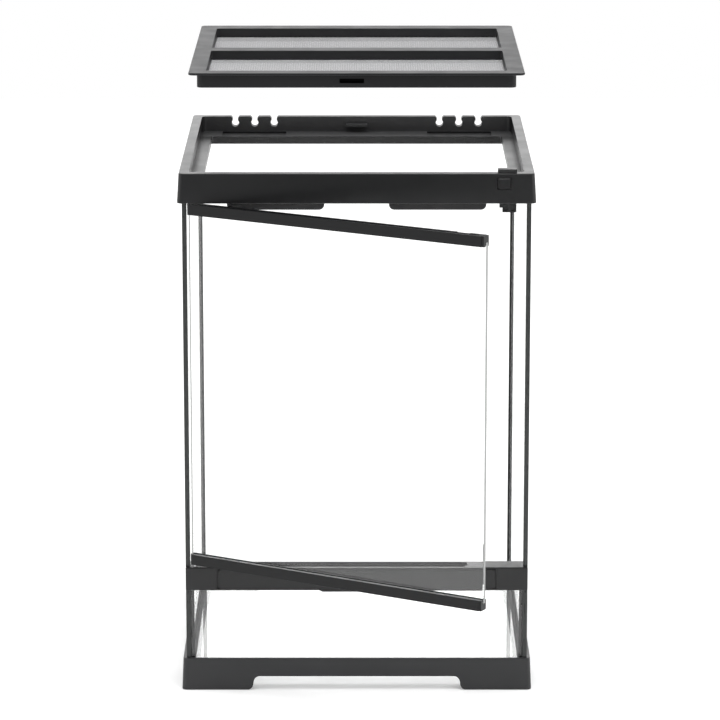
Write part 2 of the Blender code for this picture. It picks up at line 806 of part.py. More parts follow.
def make_top_frame(finish):
    frame = drafted_block("top_frame", HALF_WIDTH, HALF_DEPTH, TOP_BOTTOM, TANK_HEIGHT, TOP_DRAFT, finish)
    soften(frame, TOP_EDGE)
    above = TANK_HEIGHT + PAST
    below = TOP_BOTTOM - PAST

    # The recess that takes the lid, and the opening into the tank
    recess = cutter_block(
        (-RECESS_X, -RECESS_Y, LEDGE_TOP), (RECESS_X, RECESS_Y, above), RECESS_RADIUS, 2, 6
    )
    open_x = RECESS_X - SIDE_LEDGE
    open_front = -RECESS_Y + FRONT_LEDGE
    open_back = RECESS_Y - REAR_LEDGE
    opening = cutter_block(
        (-open_x, open_front, below), (open_x, open_back, above), OPENING_RADIUS, 2, 4
    )
    cut(frame, recess, opening)

    # Below the ledge only a wall along the glass is left, and the box along the front
    inner_x = PANE_X - GLASS - GAP - PANE_WALL
    inner_back = PANE_Y - GLASS - GAP - PANE_WALL
    under = cutter_block((-inner_x, open_front, below), (inner_x, inner_back, LEDGE_BOTTOM))
    cut(frame, under)
    for side in (-1, 1):
        low_x, high_x = across(side, open_x + LIP_THICK, inner_x)
        hollow = cutter_block(
            (low_x, open_front + LIP_THICK, below),
            (high_x, open_back - LIP_THICK, LEDGE_TOP - LEDGE_THICK),
        )
        cut(frame, hollow)
    front_hollow = cutter_block(
        (PIN_X + HINGE_BOSS, RAIL_BACK + FRONT_HOLLOW_FRONT, below),
        (LATCH_X - LATCH_BOSS, open_front - FRONT_BACK_WALL, LEDGE_TOP - FRONT_ROOF),
    )
    cut(frame, front_hollow)

    # The grooves that take the glass
    for side in (-1, 1):
        low_x, high_x = across(side, PANE_X - GLASS - GAP, PANE_X + GAP)
        groove = cutter_block(
            (low_x, -PANE_Y - GAP, below), (high_x, PANE_Y + GAP, PANE_TOP + GAP)
        )
        cut(frame, groove)
    rear_groove = cutter_block(
        (-PANE_X, PANE_Y - GLASS - GAP, below), (PANE_X, PANE_Y + GAP, REAR_PANE_TOP + PANE_EASE)
    )
    cut(frame, rear_groove)

    add_catches(frame)
    cut_cable_notches(frame)
    add_latch_housing(frame)
    cut(frame, cutter_rod((PIN_X, PIN_Y, below), PAST + PIN_REACH + BUSH_BED, BUSH_HOLE))
    return frame


# Where the catches are along X, and on which side: one at the rear and one at the front
def catch_places():
    return ((0.0, 1), (FRONT_CATCH_PLACE, -1))


# Tabs on the inside of the rear and front walls, level with the slots in the lid's skirt
def add_catches(frame):
    reach = SKIRT_Y + CATCH_CLEAR
    for middle, side in catch_places():
        low_y, high_y = across(side, reach, RECESS_Y + BITE)
        tab = cutter_block(
            (middle - CATCH_WIDTH / 2, low_y, CATCH_Z - CATCH_HEIGHT / 2),
            (middle + CATCH_WIDTH / 2, high_y, CATCH_Z + CATCH_HEIGHT / 2),
        )
        join(frame, tab)


def cut_cable_notches(frame):
    seat_z = TANK_HEIGHT - NOTCH_DROP
    ledge_edge = RECESS_Y - REAR_LEDGE
    for side in (-1, 1):
        group = side * (HALF_WIDTH - GATE_FROM_SIDE)
        # The room in which the gate slides, towards the middle of the tank
        half = GATE_WINDOW / 2 + GATE_END
        low_x = group - half - GAP
        high_x = group + half + GAP
        if side < 0:
            high_x += GATE_TRAVEL
        else:
            low_x -= GATE_TRAVEL
        plate_room = cutter_block(
            (low_x, GATE_FRONT - GAP, GATE_BOTTOM - GAP),
            (high_x, GATE_FRONT + GATE_PLATE + GAP, TANK_HEIGHT - GATE_ROOF),
        )
        foot_room = cutter_block(
            (low_x, ledge_edge + GATE_FOOT_SET - GAP, GATE_BOTTOM - GAP),
            (high_x, GATE_FRONT + GATE_PLATE / 2, GATE_BOTTOM + GATE_FOOT + GAP),
        )
        window = cutter_block(
            (group - GATE_WINDOW / 2, ledge_edge + GATE_VIEW_FRONT, GATE_BOTTOM + GATE_FOOT),
            (group + GATE_WINDOW / 2, RECESS_Y - GATE_VIEW_BACK, LEDGE_TOP + BITE),
            GATE_VIEW_RADIUS, 2, 2,
        )
        cut(frame, plate_room, foot_room, window)
        for middle in notch_places(side):
            points = notch_points(middle, seat_z, TANK_HEIGHT + PAST)
            notch = standing_outline(points, RECESS_Y - BITE, HALF_DEPTH + PAST)
            cut(frame, as_cutter(from_bmesh("cutter", notch, CUTTERS)))
            for edge in (-1, 1):
                line = middle + edge * LEDGE_LINE_SIDE
                half_line = LEDGE_LINE_WIDTH / 2
                groove = cutter_block(
                    (line - half_line, ledge_edge - BITE, LEDGE_BOTTOM + LEDGE_LINE_LOW),
                    (line + half_line, ledge_edge + LEDGE_LINE_DEPTH, LEDGE_TOP - LEDGE_LINE_HIGH),
                )
                cut(frame, groove)


# The box inside the front rim that guides the button, the latch, its spring and the lock
def add_latch_housing(frame):
    below = TOP_BOTTOM - PAST
    half_latch = LATCH_WIDTH / 2
    room_back = LATCH_BACK + BUTTON_TRAVEL + GAP
    boss_top = TANK_HEIGHT - FLANGE_THICK - BOSS_CLEAR
    boss_back = -SKIRT_Y - BOSS_CLEAR
    boss = cutter_block(
        (BUTTON_X - BOSS_LEFT, -RECESS_Y - BITE, LEDGE_TOP - BITE),
        (LATCH_X + half_latch + BOSS_RIGHT, boss_back, boss_top),
    )
    join(frame, boss)
    leg_room = cutter_block(
        (LATCH_X - half_latch - GAP, LATCH_FRONT - GAP, below),
        (LATCH_X + half_latch + GAP, room_back, BUTTON_Z + STEM_HEIGHT / 2 + LATCH_HEADROOM),
    )
    half_width = BUTTON_WIDTH / 2 + BUTTON_CLEAR
    half_height = BUTTON_HEIGHT / 2 + BUTTON_CLEAR
    cap_back = button_front() + BUTTON_DEPTH + BUTTON_TRAVEL + GAP
    cap_room = cutter_block(
        (BUTTON_X - half_width, -HALF_DEPTH - PAST, BUTTON_Z - half_height),
        (BUTTON_X + half_width, cap_back, BUTTON_Z + half_height),
    )
    stem_room = cutter_block(
        (BUTTON_X - STEM_WIDTH / 2 - GAP, cap_back - BITE, BUTTON_Z - STEM_HEIGHT / 2 - GAP),
        (
            BUTTON_X + STEM_WIDTH / 2 + GAP, LATCH_FRONT + BUTTON_TRAVEL + GAP,
            BUTTON_Z + STEM_HEIGHT / 2 + GAP,
        ),
    )
    cut(frame, leg_room, cap_room, stem_room)

    spring_back = LATCH_BACK + GAP + SPRING_LENGTH + GAP
    spring_room = SPRING_RADIUS + SPRING_WIRE + SPRING_CLEAR
    bore = cutter_rod((LATCH_X, LATCH_BACK, spring_z()), spring_back - LATCH_BACK, spring_room, 1)
    hatch = cutter_block(
        (LATCH_X - spring_room, LATCH_BACK, below), (LATCH_X + spring_room, spring_back, spring_z())
    )
    cover_low, cover_high = cover_corners()
    cover_room = cutter_block(
        (cover_low[0] - GAP, cover_low[1] - GAP, below),
        (cover_high[0] + GAP, cover_high[1] + GAP, cover_high[2] + GAP),
    )
    cut(frame, bore, hatch, cover_room)

    foot_low, foot_high, slide_y = lock_places()
    lock_room = cutter_block(
        (foot_low - LOCK_TRAVEL - GAP, slide_y - LOCK_BARB / 2 - GAP, lock_foot_bottom() - GAP),
        (foot_high + GAP, slide_y + LOCK_BARB / 2 + GAP, TANK_HEIGHT - LOCK_ROOF),
    )
    slot_floor = TANK_HEIGHT - LOCK_SLOT_FLOOR
    lock_slot = cutter_block(
        (foot_low - LOCK_TRAVEL - GAP, slide_y - LOCK_STEM / 2 - GAP, slot_floor),
        (foot_high + GAP, slide_y + LOCK_STEM / 2 + GAP, TANK_HEIGHT + PAST),
    )
    cut(frame, lock_room, lock_slot)


# The front wall leans back, so the button starts from the wall at its own height
def button_front():
    lean = TOP_DRAFT * (BUTTON_Z - TOP_BOTTOM) / TOP_HEIGHT
    return -HALF_DEPTH + lean - BUTTON_PROUD


def spring_z():
    return TOP_BOTTOM + SPRING_RISE


# The latch's nose, at its flank towards the door, which stands in the pocket of the door's rail
def nose_corners():
    flank = LATCH_X - LATCH_WIDTH / 2
    top = TOP_BOTTOM - NOSE_DROP
    low = (flank - NOSE_WIDTH, LATCH_FRONT - NOSE_LENGTH, top - NOSE_HEIGHT)
    high = (flank, LATCH_BACK - LATCH_EDGE, top)
    return low, high


def cover_corners():
    front = LATCH_BACK + BUTTON_TRAVEL + LATCH_COVER_CLEAR
    back = front + LATCH_COVER_DEPTH
    low = (LATCH_X - LATCH_COVER_HALF, front, TOP_BOTTOM)
    high = (LATCH_X + LATCH_COVER_HALF, back, TOP_BOTTOM + LATCH_COVER_THICK)
    return low, high


def lock_places():
    foot_low = BUTTON_X + BUTTON_WIDTH / 2 + LOCK_BESIDE
    slide_y = button_front() + BUTTON_DEPTH + GAP + LOCK_BARB / 2
    return foot_low, foot_low + LOCK_FOOT, slide_y


def lock_foot_bottom():
    return BUTTON_Z + STEM_HEIGHT / 2 + 2 * GAP


def make_door_stops(finish):
    back = RAIL_BACK + STOP_CLEAR + STOP_THICK
    top = TOP_BOTTOM - GAP
    bottom = TOP_BOTTOM - STOP_DROP
    for name, side in (("door_stop_left", -1), ("door_stop_right", 1)):
        outer = HALF_WIDTH - STOP_FROM_SIDE
        inner = outer - STOP_LENGTH
        points = [(outer, top)]
        points += arc(outer - STOP_RADIUS, bottom + STOP_RADIUS, STOP_RADIUS, STOP_RADIUS, 0, -90, 5)
        points += arc(inner + STOP_RADIUS, bottom + STOP_RADIUS, STOP_RADIUS, STOP_RADIUS, 270, 180, 5)
        points.append((inner, top))
        placed = [(side * x, z) for x, z in points]
        work = standing_outline(placed, back - STOP_THICK, back)
        from_bmesh(name, work, PARTS, finish)


def make_latch_cover(finish):
    low, high = cover_corners()
    return block("latch_cover", low, high, finish)


def make_bushes(finish):
    inside = PIN_RADIUS + GAP
    outside = inside + BUSH_WALL
    length = PIN_REACH + BUSH_OVER
    profile = [(outside, length), (outside, 0.0), (inside, 0.0), (inside, length)]
    turned("hinge_bush_top", profile, (PIN_X, PIN_Y, TOP_BOTTOM + BUSH_SET), finish)
    turned("hinge_bush_bottom", profile, (PIN_X, PIN_Y, BAR_TOP - BUSH_SET - length), finish)


# The plan of a door rail: its hinge end is round about the pin, so that it clears the side glass
def rail_plan(free_end):
    nose = PIN_BEHIND_FRONT
    hinge_end = PIN_X - nose
    points = arc(PIN_X, PIN_Y, nose, nose, 270, 180, 6)
    points += arc(
        hinge_end + RAIL_HEEL, RAIL_BACK - RAIL_HEEL, RAIL_HEEL, RAIL_HEEL, 180, 90, 4
    )
    points += [(free_end, RAIL_BACK), (free_end, RAIL_FRONT)]
    return points


def rail_solid(name, bottom, finish):
    work = outline_mesh(rail_plan(DOOR_END - END_CAP - GAP), RAIL_HEIGHT)
    bmesh.ops.translate(work, vec=(0, 0, bottom + RAIL_HEIGHT / 2), verts=work.verts)
    return from_bmesh(name, work, PARTS, finish)


def make_door(rail_finish, glass_finish, steel_finish):
    top_bottom = TOP_RAIL_TOP - RAIL_HEIGHT
    low_top = BOTTOM_RAIL_BOTTOM + RAIL_HEIGHT
    glass_back = RAIL_BACK - DOOR_GLASS_BACK
    glass_front = glass_back - GLASS
    glass_left = PIN_X - PIN_BEHIND_FRONT + GLASS_EDGE
    glass_low = low_top - RAIL_BITE
    glass_high = top_bottom + RAIL_BITE
    pane = block(
        "door_glass", (glass_left, glass_front, glass_low), (DOOR_END, glass_back, glass_high),
        glass_finish, GLASS_EDGE, 2, 1,
    )
    pieces = [pane]
    rails = (
        ("door_top_rail", "door_end_cap_top", top_bottom, top_bottom - PAST, glass_high + GAP),
        ("door_bottom_rail", "door_end_cap_bottom", BOTTOM_RAIL_BOTTOM, glass_low - GAP, low_top + PAST),
    )
    for name, cap_name, bottom, slot_low, slot_high in rails:
        rail = rail_solid(name, bottom, rail_finish)
        soften(rail, RAIL_EDGE)
        cap = block(
            cap_name, (DOOR_END - END_CAP, RAIL_FRONT, bottom),
            (DOOR_END, RAIL_BACK, bottom + RAIL_HEIGHT), rail_finish, END_CAP_RADIUS, 0, 3,
        )
        slot = cutter_block(
            (PIN_X - PAST, glass_front - GAP, slot_low), (DOOR_END + PAST, glass_back + GAP, slot_high)
        )
        cut(rail, slot)
        cut(cap, slot)
        pieces += [rail, cap]
    top_rail = pieces[1]
    bottom_rail = pieces[3]
    hole = PIN_RADIUS + GAP
    depth = PIN_GRIP + GAP
    cut(top_rail, cutter_rod((PIN_X, PIN_Y, TOP_RAIL_TOP - depth), depth + PAST, hole))
    cut(bottom_rail, cutter_rod((PIN_X, PIN_Y, BOTTOM_RAIL_BOTTOM - PAST), PAST + depth, hole))
    groove_y = glass_front - RAIL_GROOVE_SET
    groove = cutter_block(
        (PIN_X + RAIL_GROOVE_END, groove_y, TOP_RAIL_TOP - RAIL_GROOVE_DEPTH),
        (DOOR_END - RAIL_GROOVE_END, groove_y + RAIL_GROOVE, TOP_RAIL_TOP + PAST),
    )
    nose_low, nose_high = nose_corners()
    pocket_end = nose_high[0] + POCKET_CLEAR
    pocket = cutter_block(
        (pocket_end - POCKET_WIDTH, nose_low[1] - POCKET_CLEAR, nose_low[2] - POCKET_CLEAR),
        (pocket_end, RAIL_BACK + PAST, TOP_RAIL_TOP + PAST),
    )
    cut(top_rail, groove, pocket)
    top_pin_end = TOP_BOTTOM + PIN_REACH
    top_pin = pin("hinge_pin_top", TOP_RAIL_TOP - PIN_GRIP, top_pin_end, steel_finish)
    low_pin_end = BAR_TOP - PIN_REACH
    low_pin = pin("hinge_pin_bottom", low_pin_end, BOTTOM_RAIL_BOTTOM + PIN_GRIP, steel_finish)
    pieces += [top_pin, low_pin]
    hinge = empty("door_hinge", (PIN_X, PIN_Y, BAR_TOP))
    hang_on(hinge, *pieces)
    hinge.rotation_euler = (0, 0, -DOOR_OPEN)
    return hinge


# A hinge pin with small chamfers, modelled about its own axis
def pin(name, bottom, top, finish):
    length = top - bottom
    profile = [
        (0.0, length), (PIN_RADIUS - PIN_CHAMFER, length), (PIN_RADIUS, length - PIN_CHAMFER),
        (PIN_RADIUS, PIN_CHAMFER), (PIN_RADIUS - PIN_CHAMFER, 0.0), (0.0, 0.0),
    ]
    return turned(name, profile, (PIN_X, PIN_Y, bottom), finish)


def lid_windows():
    bar_front = LID_BAR_PLACE - LID_BAR / 2
    bar_back = LID_BAR_PLACE + LID_BAR / 2
    half = FLANGE_X - WINDOW_SIDE
    return (
        ("front", half, -FLANGE_Y + WINDOW_SIDE, bar_front),
        ("rear", half, bar_back, FLANGE_Y - WINDOW_REAR),
    )


def make_lid(finish, mesh_finish):
    top = TANK_HEIGHT
    flange_bottom = top - FLANGE_THICK
    skirt_bottom = LEDGE_TOP + GAP
    lid = block(
        "lid_frame", (-FLANGE_X, -FLANGE_Y, flange_bottom), (FLANGE_X, FLANGE_Y, top),
        finish, RECESS_RADIUS - LID_GAP, 2, 6,
    )
    soften(lid, LID_EDGE)
    skirt = cutter_block(
        (-SKIRT_X, -SKIRT_Y, skirt_bottom), (SKIRT_X, SKIRT_Y, flange_bottom + BITE), SKIRT_RADIUS
    )
    join(lid, skirt)

    # The skirt is a thin wall: it is hollow under the flange, apart from the window walls and
    # the hoods behind the catch slots
    mesh_top = top - MESH_DEPTH
    inside_x = SKIRT_X - SKIRT_WALL
    inside_y = SKIRT_Y - SKIRT_WALL
    hollow = cutter_block(
        (-inside_x, -inside_y, skirt_bottom - PAST), (inside_x, inside_y, flange_bottom),
        SKIRT_RADIUS - SKIRT_WALL, 2, 4,
    )
    wall = WINDOW_WALL
    for _, half, front, back in lid_windows():
        keep = cutter_block(
            (-half - wall, front - wall, mesh_top), (half + wall, back + wall, top + PAST)
        )
        cut(hollow, keep)
    slot_half = CATCH_WIDTH / 2 + SLOT_SIDE_CLEAR
    slot_bottom = CATCH_Z - CATCH_HEIGHT / 2 - SLOT_HEIGHT_CLEAR
    slot_top = CATCH_Z + CATCH_HEIGHT / 2 + SLOT_HEIGHT_CLEAR
    for middle, side in catch_places():
        low_y, high_y = across(side, inside_y - HOOD_DEPTH, inside_y + BITE)
        hood = cutter_block(
            (middle - slot_half - HOOD_WALL, low_y, slot_bottom - HOOD_WALL),
            (middle + slot_half + HOOD_WALL, high_y, top + 2 * PAST),
        )
        cut(hollow, hood)
    cut(lid, hollow)
    pieces = [lid]
    for name, half, front, back in lid_windows():
        window = cutter_block(
            (-half, front, skirt_bottom - 2 * PAST), (half, back, top + 2 * PAST),
            WINDOW_RADIUS, 2, 3,
        )
        cut(lid, window)
        lap = MESH_LAP
        net_low = (-half - lap, front - lap)
        net_high = (half + lap, back + lap)
        net_top = mesh_top - GAP
        net = net_bmesh(net_low, net_high, MESH_CELLS, MESH_WIRE, net_top - MESH_THICK, MESH_THICK)
        pieces.append(from_bmesh("lid_mesh_" + name, net, PARTS, mesh_finish))
        clamp_top = net_top - MESH_THICK - GAP
        clamp = block(
            "mesh_clamp_" + name, (net_low[0], net_low[1], clamp_top - MESH_CLAMP),
            (net_high[0], net_high[1], clamp_top), finish,
        )
        inner = cutter_block(
            (-half, front, clamp_top - PAST), (half, back, clamp_top + PAST), WINDOW_RADIUS, 2, 3
        )
        cut(clamp, inner)
        pieces.append(clamp)
    for middle, side in catch_places():
        low_y, high_y = across(side, inside_y - HOOD_DEPTH + HOOD_WALL, SKIRT_Y + PAST)
        slot = cutter_block(
            (middle - slot_half, low_y, slot_bottom), (middle + slot_half, high_y, slot_top),
            SLOT_RADIUS, 1, 2,
        )
        cut(lid, slot)
    carrier = empty("lid_lift", (0, 0, TANK_HEIGHT))
    hang_on(carrier, *pieces)
    carrier.location.z += LID_LIFT
    return carrier


def make_latch(button_finish, latch_finish, steel_finish):
    front = button_front()
    half_width = BUTTON_WIDTH / 2
    half_height = BUTTON_HEIGHT / 2
    button = block(
        "latch_button", (BUTTON_X - half_width, front, BUTTON_Z - half_height),
        (BUTTON_X + half_width, front + BUTTON_DEPTH, BUTTON_Z + half_height),
        button_finish, BUTTON_RADIUS, 1, 2,
    )
    soften(button, BUTTON_EDGE, 1)
    stem = cutter_block(
        (BUTTON_X - STEM_WIDTH / 2, front + BUTTON_DEPTH - STEM_ROOT, BUTTON_Z - STEM_HEIGHT / 2),
        (BUTTON_X + STEM_WIDTH / 2, LATCH_FRONT - GAP, BUTTON_Z + STEM_HEIGHT / 2),
    )
    join(button, stem)

    # The latch hangs behind the door's top rail, and its nose stands in the rail's pocket
    half = LATCH_WIDTH / 2
    bottom = TOP_BOTTOM - LATCH_HANG
    latch = block(
        "door_latch", (LATCH_X - half, LATCH_FRONT, bottom),
        (LATCH_X + half, LATCH_BACK, BUTTON_Z + STEM_HEIGHT / 2), latch_finish,
    )
    soften(latch, LATCH_EDGE, 1)
    for side in (-1, 1):
        low_x, high_x = across(side, LATCH_RIB / 2, half - LATCH_BORDER)
        dip = cutter_block(
            (LATCH_X + low_x, LATCH_FRONT - PAST, bottom + LATCH_SILL),
            (LATCH_X + high_x, LATCH_FRONT + LATCH_DIP, TOP_BOTTOM - LATCH_BROW),
        )
        cut(latch, dip)
    nose_low, nose_high = nose_corners()
    nose = cutter_block(nose_low, (nose_high[0] + NOSE_ROOT, nose_high[1], nose_high[2]))
    join(latch, nose)
    carrier = empty("button_press", (BUTTON_X, front, BUTTON_Z))
    hang_on(carrier, button, latch)

    spring = from_bmesh("latch_spring", spring_bmesh(), PARTS, steel_finish)
    spring.location = (LATCH_X, LATCH_BACK + GAP, spring_z())


# A compression spring along Y, as one smooth wire with ground-flat end turns left out
def spring_bmesh():
    curve = bpy.data.curves.new("spring", "CURVE")
    curve.dimensions = "3D"
    curve.bevel_depth = SPRING_WIRE
    curve.bevel_resolution = 1
    curve.use_fill_caps = True
    per_turn = 10
    count = SPRING_TURNS * per_turn + 1
    line = curve.splines.new("POLY")
    line.points.add(count - 1)
    travel = SPRING_LENGTH - 2 * SPRING_WIRE
    for i, place in enumerate(line.points):
        share = i / (count - 1)
        angle = 2 * math.pi * SPRING_TURNS * share
        place.co = (
            SPRING_RADIUS * math.cos(angle), SPRING_WIRE + travel * share,
            SPRING_RADIUS * math.sin(angle), 1.0,
        )
    return curve_bmesh(curve)


def make_lock_slider(finish):
    knob_x = HALF_WIDTH - KNOB_FROM_SIDE
    foot_low, foot_high, slide_y = lock_places()
    knob_bottom = TANK_HEIGHT + GAP
    knob = block(
        "lock_slider", (knob_x - KNOB_WIDTH / 2, slide_y - KNOB_DEPTH / 2, knob_bottom),
        (knob_x + KNOB_WIDTH / 2, slide_y + KNOB_DEPTH / 2, knob_bottom + KNOB_HEIGHT),
        finish, KNOB_RADIUS, 2, 2,
    )
    soften(knob, KNOB_EDGE, 1)
    stem = cutter_block(
        (foot_low, slide_y - LOCK_STEM / 2, lock_foot_bottom() + BITE),
        (foot_high, slide_y + LOCK_STEM / 2, knob_bottom + BITE),
    )
    barb = cutter_block(
        (foot_low, slide_y - LOCK_BARB / 2, lock_foot_bottom()),
        (foot_high, slide_y + LOCK_BARB / 2, TANK_HEIGHT - LOCK_BARB_DROP),
    )
    join(knob, stem, barb)
    carrier = empty("lock_slide", (knob_x, slide_y, knob_bottom))
    hang_on(carrier, knob)
    return carrier


def make_gates(finish):
    seat_z = TANK_HEIGHT - NOTCH_DROP
    ledge_edge = RECESS_Y - REAR_LEDGE
    half = GATE_WINDOW / 2 + GATE_END
    plate_top = TANK_HEIGHT - GATE_ROOF - GAP
    for name, side in (("cable_gate_left", -1), ("cable_gate_right", 1)):
        group = side * (HALF_WIDTH - GATE_FROM_SIDE)
        gate = block(
            name, (group - half, GATE_FRONT, GATE_BOTTOM),
            (group + half, GATE_FRONT + GATE_PLATE, plate_top), finish,
        )
        foot = cutter_block(
            (group - half, ledge_edge + GATE_FOOT_SET, GATE_BOTTOM),
            (group + half, GATE_FRONT + GATE_PLATE / 2, GATE_BOTTOM + GATE_FOOT),
        )
        join(gate, foot)
        slot_y = (ledge_edge + RECESS_Y) / 2 + GATE_SLOT_BACK
        for middle in notch_places(side):
            points = notch_points(middle, seat_z, TANK_HEIGHT + PAST)
            notch = standing_outline(points, GATE_FRONT - PAST, HALF_DEPTH + PAST)
            finger = cutter_block(
                (middle - GATE_SLOT_LENGTH / 2, slot_y - GATE_SLOT_WIDTH / 2, GATE_BOTTOM - PAST),
                (middle + GATE_SLOT_LENGTH / 2, slot_y + GATE_SLOT_WIDTH / 2, GATE_BOTTOM + PAST),
            )
            cut(gate, as_cutter(from_bmesh("cutter", notch, CUTTERS)), finger)
        carrier = empty(name.replace("cable_", "") + "_slide", (group, GATE_FRONT, GATE_BOTTOM))
        hang_on(carrier, gate)


def main():
    plastic = material("charcoal plastic", CHARCOAL, 0.42)
    dark_plastic = material("black plastic", BLACK, 0.45)
    glass = material("clear glass", CLEAR, 0.03, see_through=1.0)
    silicone = material("black silicone", BLACK, 0.5)
    steel = material("steel wire", STEEL, 0.35, 1.0)
    make_base_frame(plastic)
    make_floor_glass(glass)
    make_walls(glass)
    make_seals(silicone)
    make_vent_bar(plastic, plastic, dark_plastic)
    make_top_frame(plastic)
    make_door_stops(dark_plastic)
    make_latch_cover(dark_plastic)
    make_bushes(dark_plastic)
    make_door(plastic, glass, steel)
    make_lid(plastic, steel)
    make_latch(plastic, dark_plastic, steel)
    make_lock_slider(dark_plastic)
    make_gates(plastic)
    stand_on(empty("terrarium", (0, TANK_MIDDLE, 0)))


clear_scene()
PARTS = new_collection("glass_terrarium")
CUTTERS = new_collection("cutters")
main()
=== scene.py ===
import math

import bmesh
import bpy
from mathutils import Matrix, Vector


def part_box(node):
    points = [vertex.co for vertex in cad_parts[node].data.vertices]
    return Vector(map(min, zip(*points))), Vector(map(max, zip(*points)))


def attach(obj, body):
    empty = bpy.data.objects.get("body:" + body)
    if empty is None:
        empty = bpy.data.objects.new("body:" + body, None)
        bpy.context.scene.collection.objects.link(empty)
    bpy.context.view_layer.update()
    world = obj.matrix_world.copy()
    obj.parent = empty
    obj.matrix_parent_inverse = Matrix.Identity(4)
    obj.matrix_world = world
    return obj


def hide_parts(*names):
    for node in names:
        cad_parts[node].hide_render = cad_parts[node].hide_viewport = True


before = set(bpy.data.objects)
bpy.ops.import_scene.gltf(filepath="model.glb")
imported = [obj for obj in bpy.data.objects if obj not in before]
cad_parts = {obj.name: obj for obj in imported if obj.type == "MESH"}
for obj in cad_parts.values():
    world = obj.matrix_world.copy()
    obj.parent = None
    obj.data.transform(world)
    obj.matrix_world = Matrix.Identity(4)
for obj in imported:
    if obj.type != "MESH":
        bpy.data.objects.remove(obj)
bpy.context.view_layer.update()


def say(stage):
    print("terrarium:", stage)


# Materials

# A noise pattern stays mostly between these two values
noiseLow = 0.3
noiseHigh = 0.7


def startMaterial(name):
    made = bpy.data.materials.new(name)
    made.use_nodes = True
    tree = made.node_tree
    tree.nodes.clear()
    output = tree.nodes.new("ShaderNodeOutputMaterial")
    shader = tree.nodes.new("ShaderNodeBsdfPrincipled")
    tree.links.new(shader.outputs["BSDF"], output.inputs["Surface"])
    coords = tree.nodes.new("ShaderNodeTexCoord")
    return made, tree, shader, coords.outputs["Object"]


def addNoise(tree, place, scale, detail=2.0, stretch=(1, 1, 1)):
    mapping = tree.nodes.new("ShaderNodeMapping")
    mapping.inputs["Scale"].default_value = stretch
    tree.links.new(place, mapping.inputs["Vector"])
    noise = tree.nodes.new("ShaderNodeTexNoise")
    noise.inputs["Scale"].default_value = scale
    noise.inputs["Detail"].default_value = detail
    tree.links.new(mapping.outputs["Vector"], noise.inputs["Vector"])
    return noise.outputs["Fac"]


def addRange(tree, value, low, high):
    spread = tree.nodes.new("ShaderNodeMapRange")
    spread.inputs["From Min"].default_value = noiseLow
    spread.inputs["From Max"].default_value = noiseHigh
    spread.inputs["To Min"].default_value = low
    spread.inputs["To Max"].default_value = high
    tree.links.new(value, spread.inputs["Value"])
    return spread.outputs["Result"]


def addBlend(tree, value, first, second):
    mix = tree.nodes.new("ShaderNodeMix")
    mix.data_type = "RGBA"
    mix.inputs["A"].default_value = (*first, 1)
    mix.inputs["B"].default_value = (*second, 1)
    tree.links.new(value, mix.inputs["Factor"])
    return mix.outputs["Result"]


def addBump(tree, height, strength, depth):
    bump = tree.nodes.new("ShaderNodeBump")
    bump.inputs["Strength"].default_value = strength
    bump.inputs["Distance"].default_value = depth
    tree.links.new(height, bump.inputs["Height"])
    return bump.outputs["Normal"]


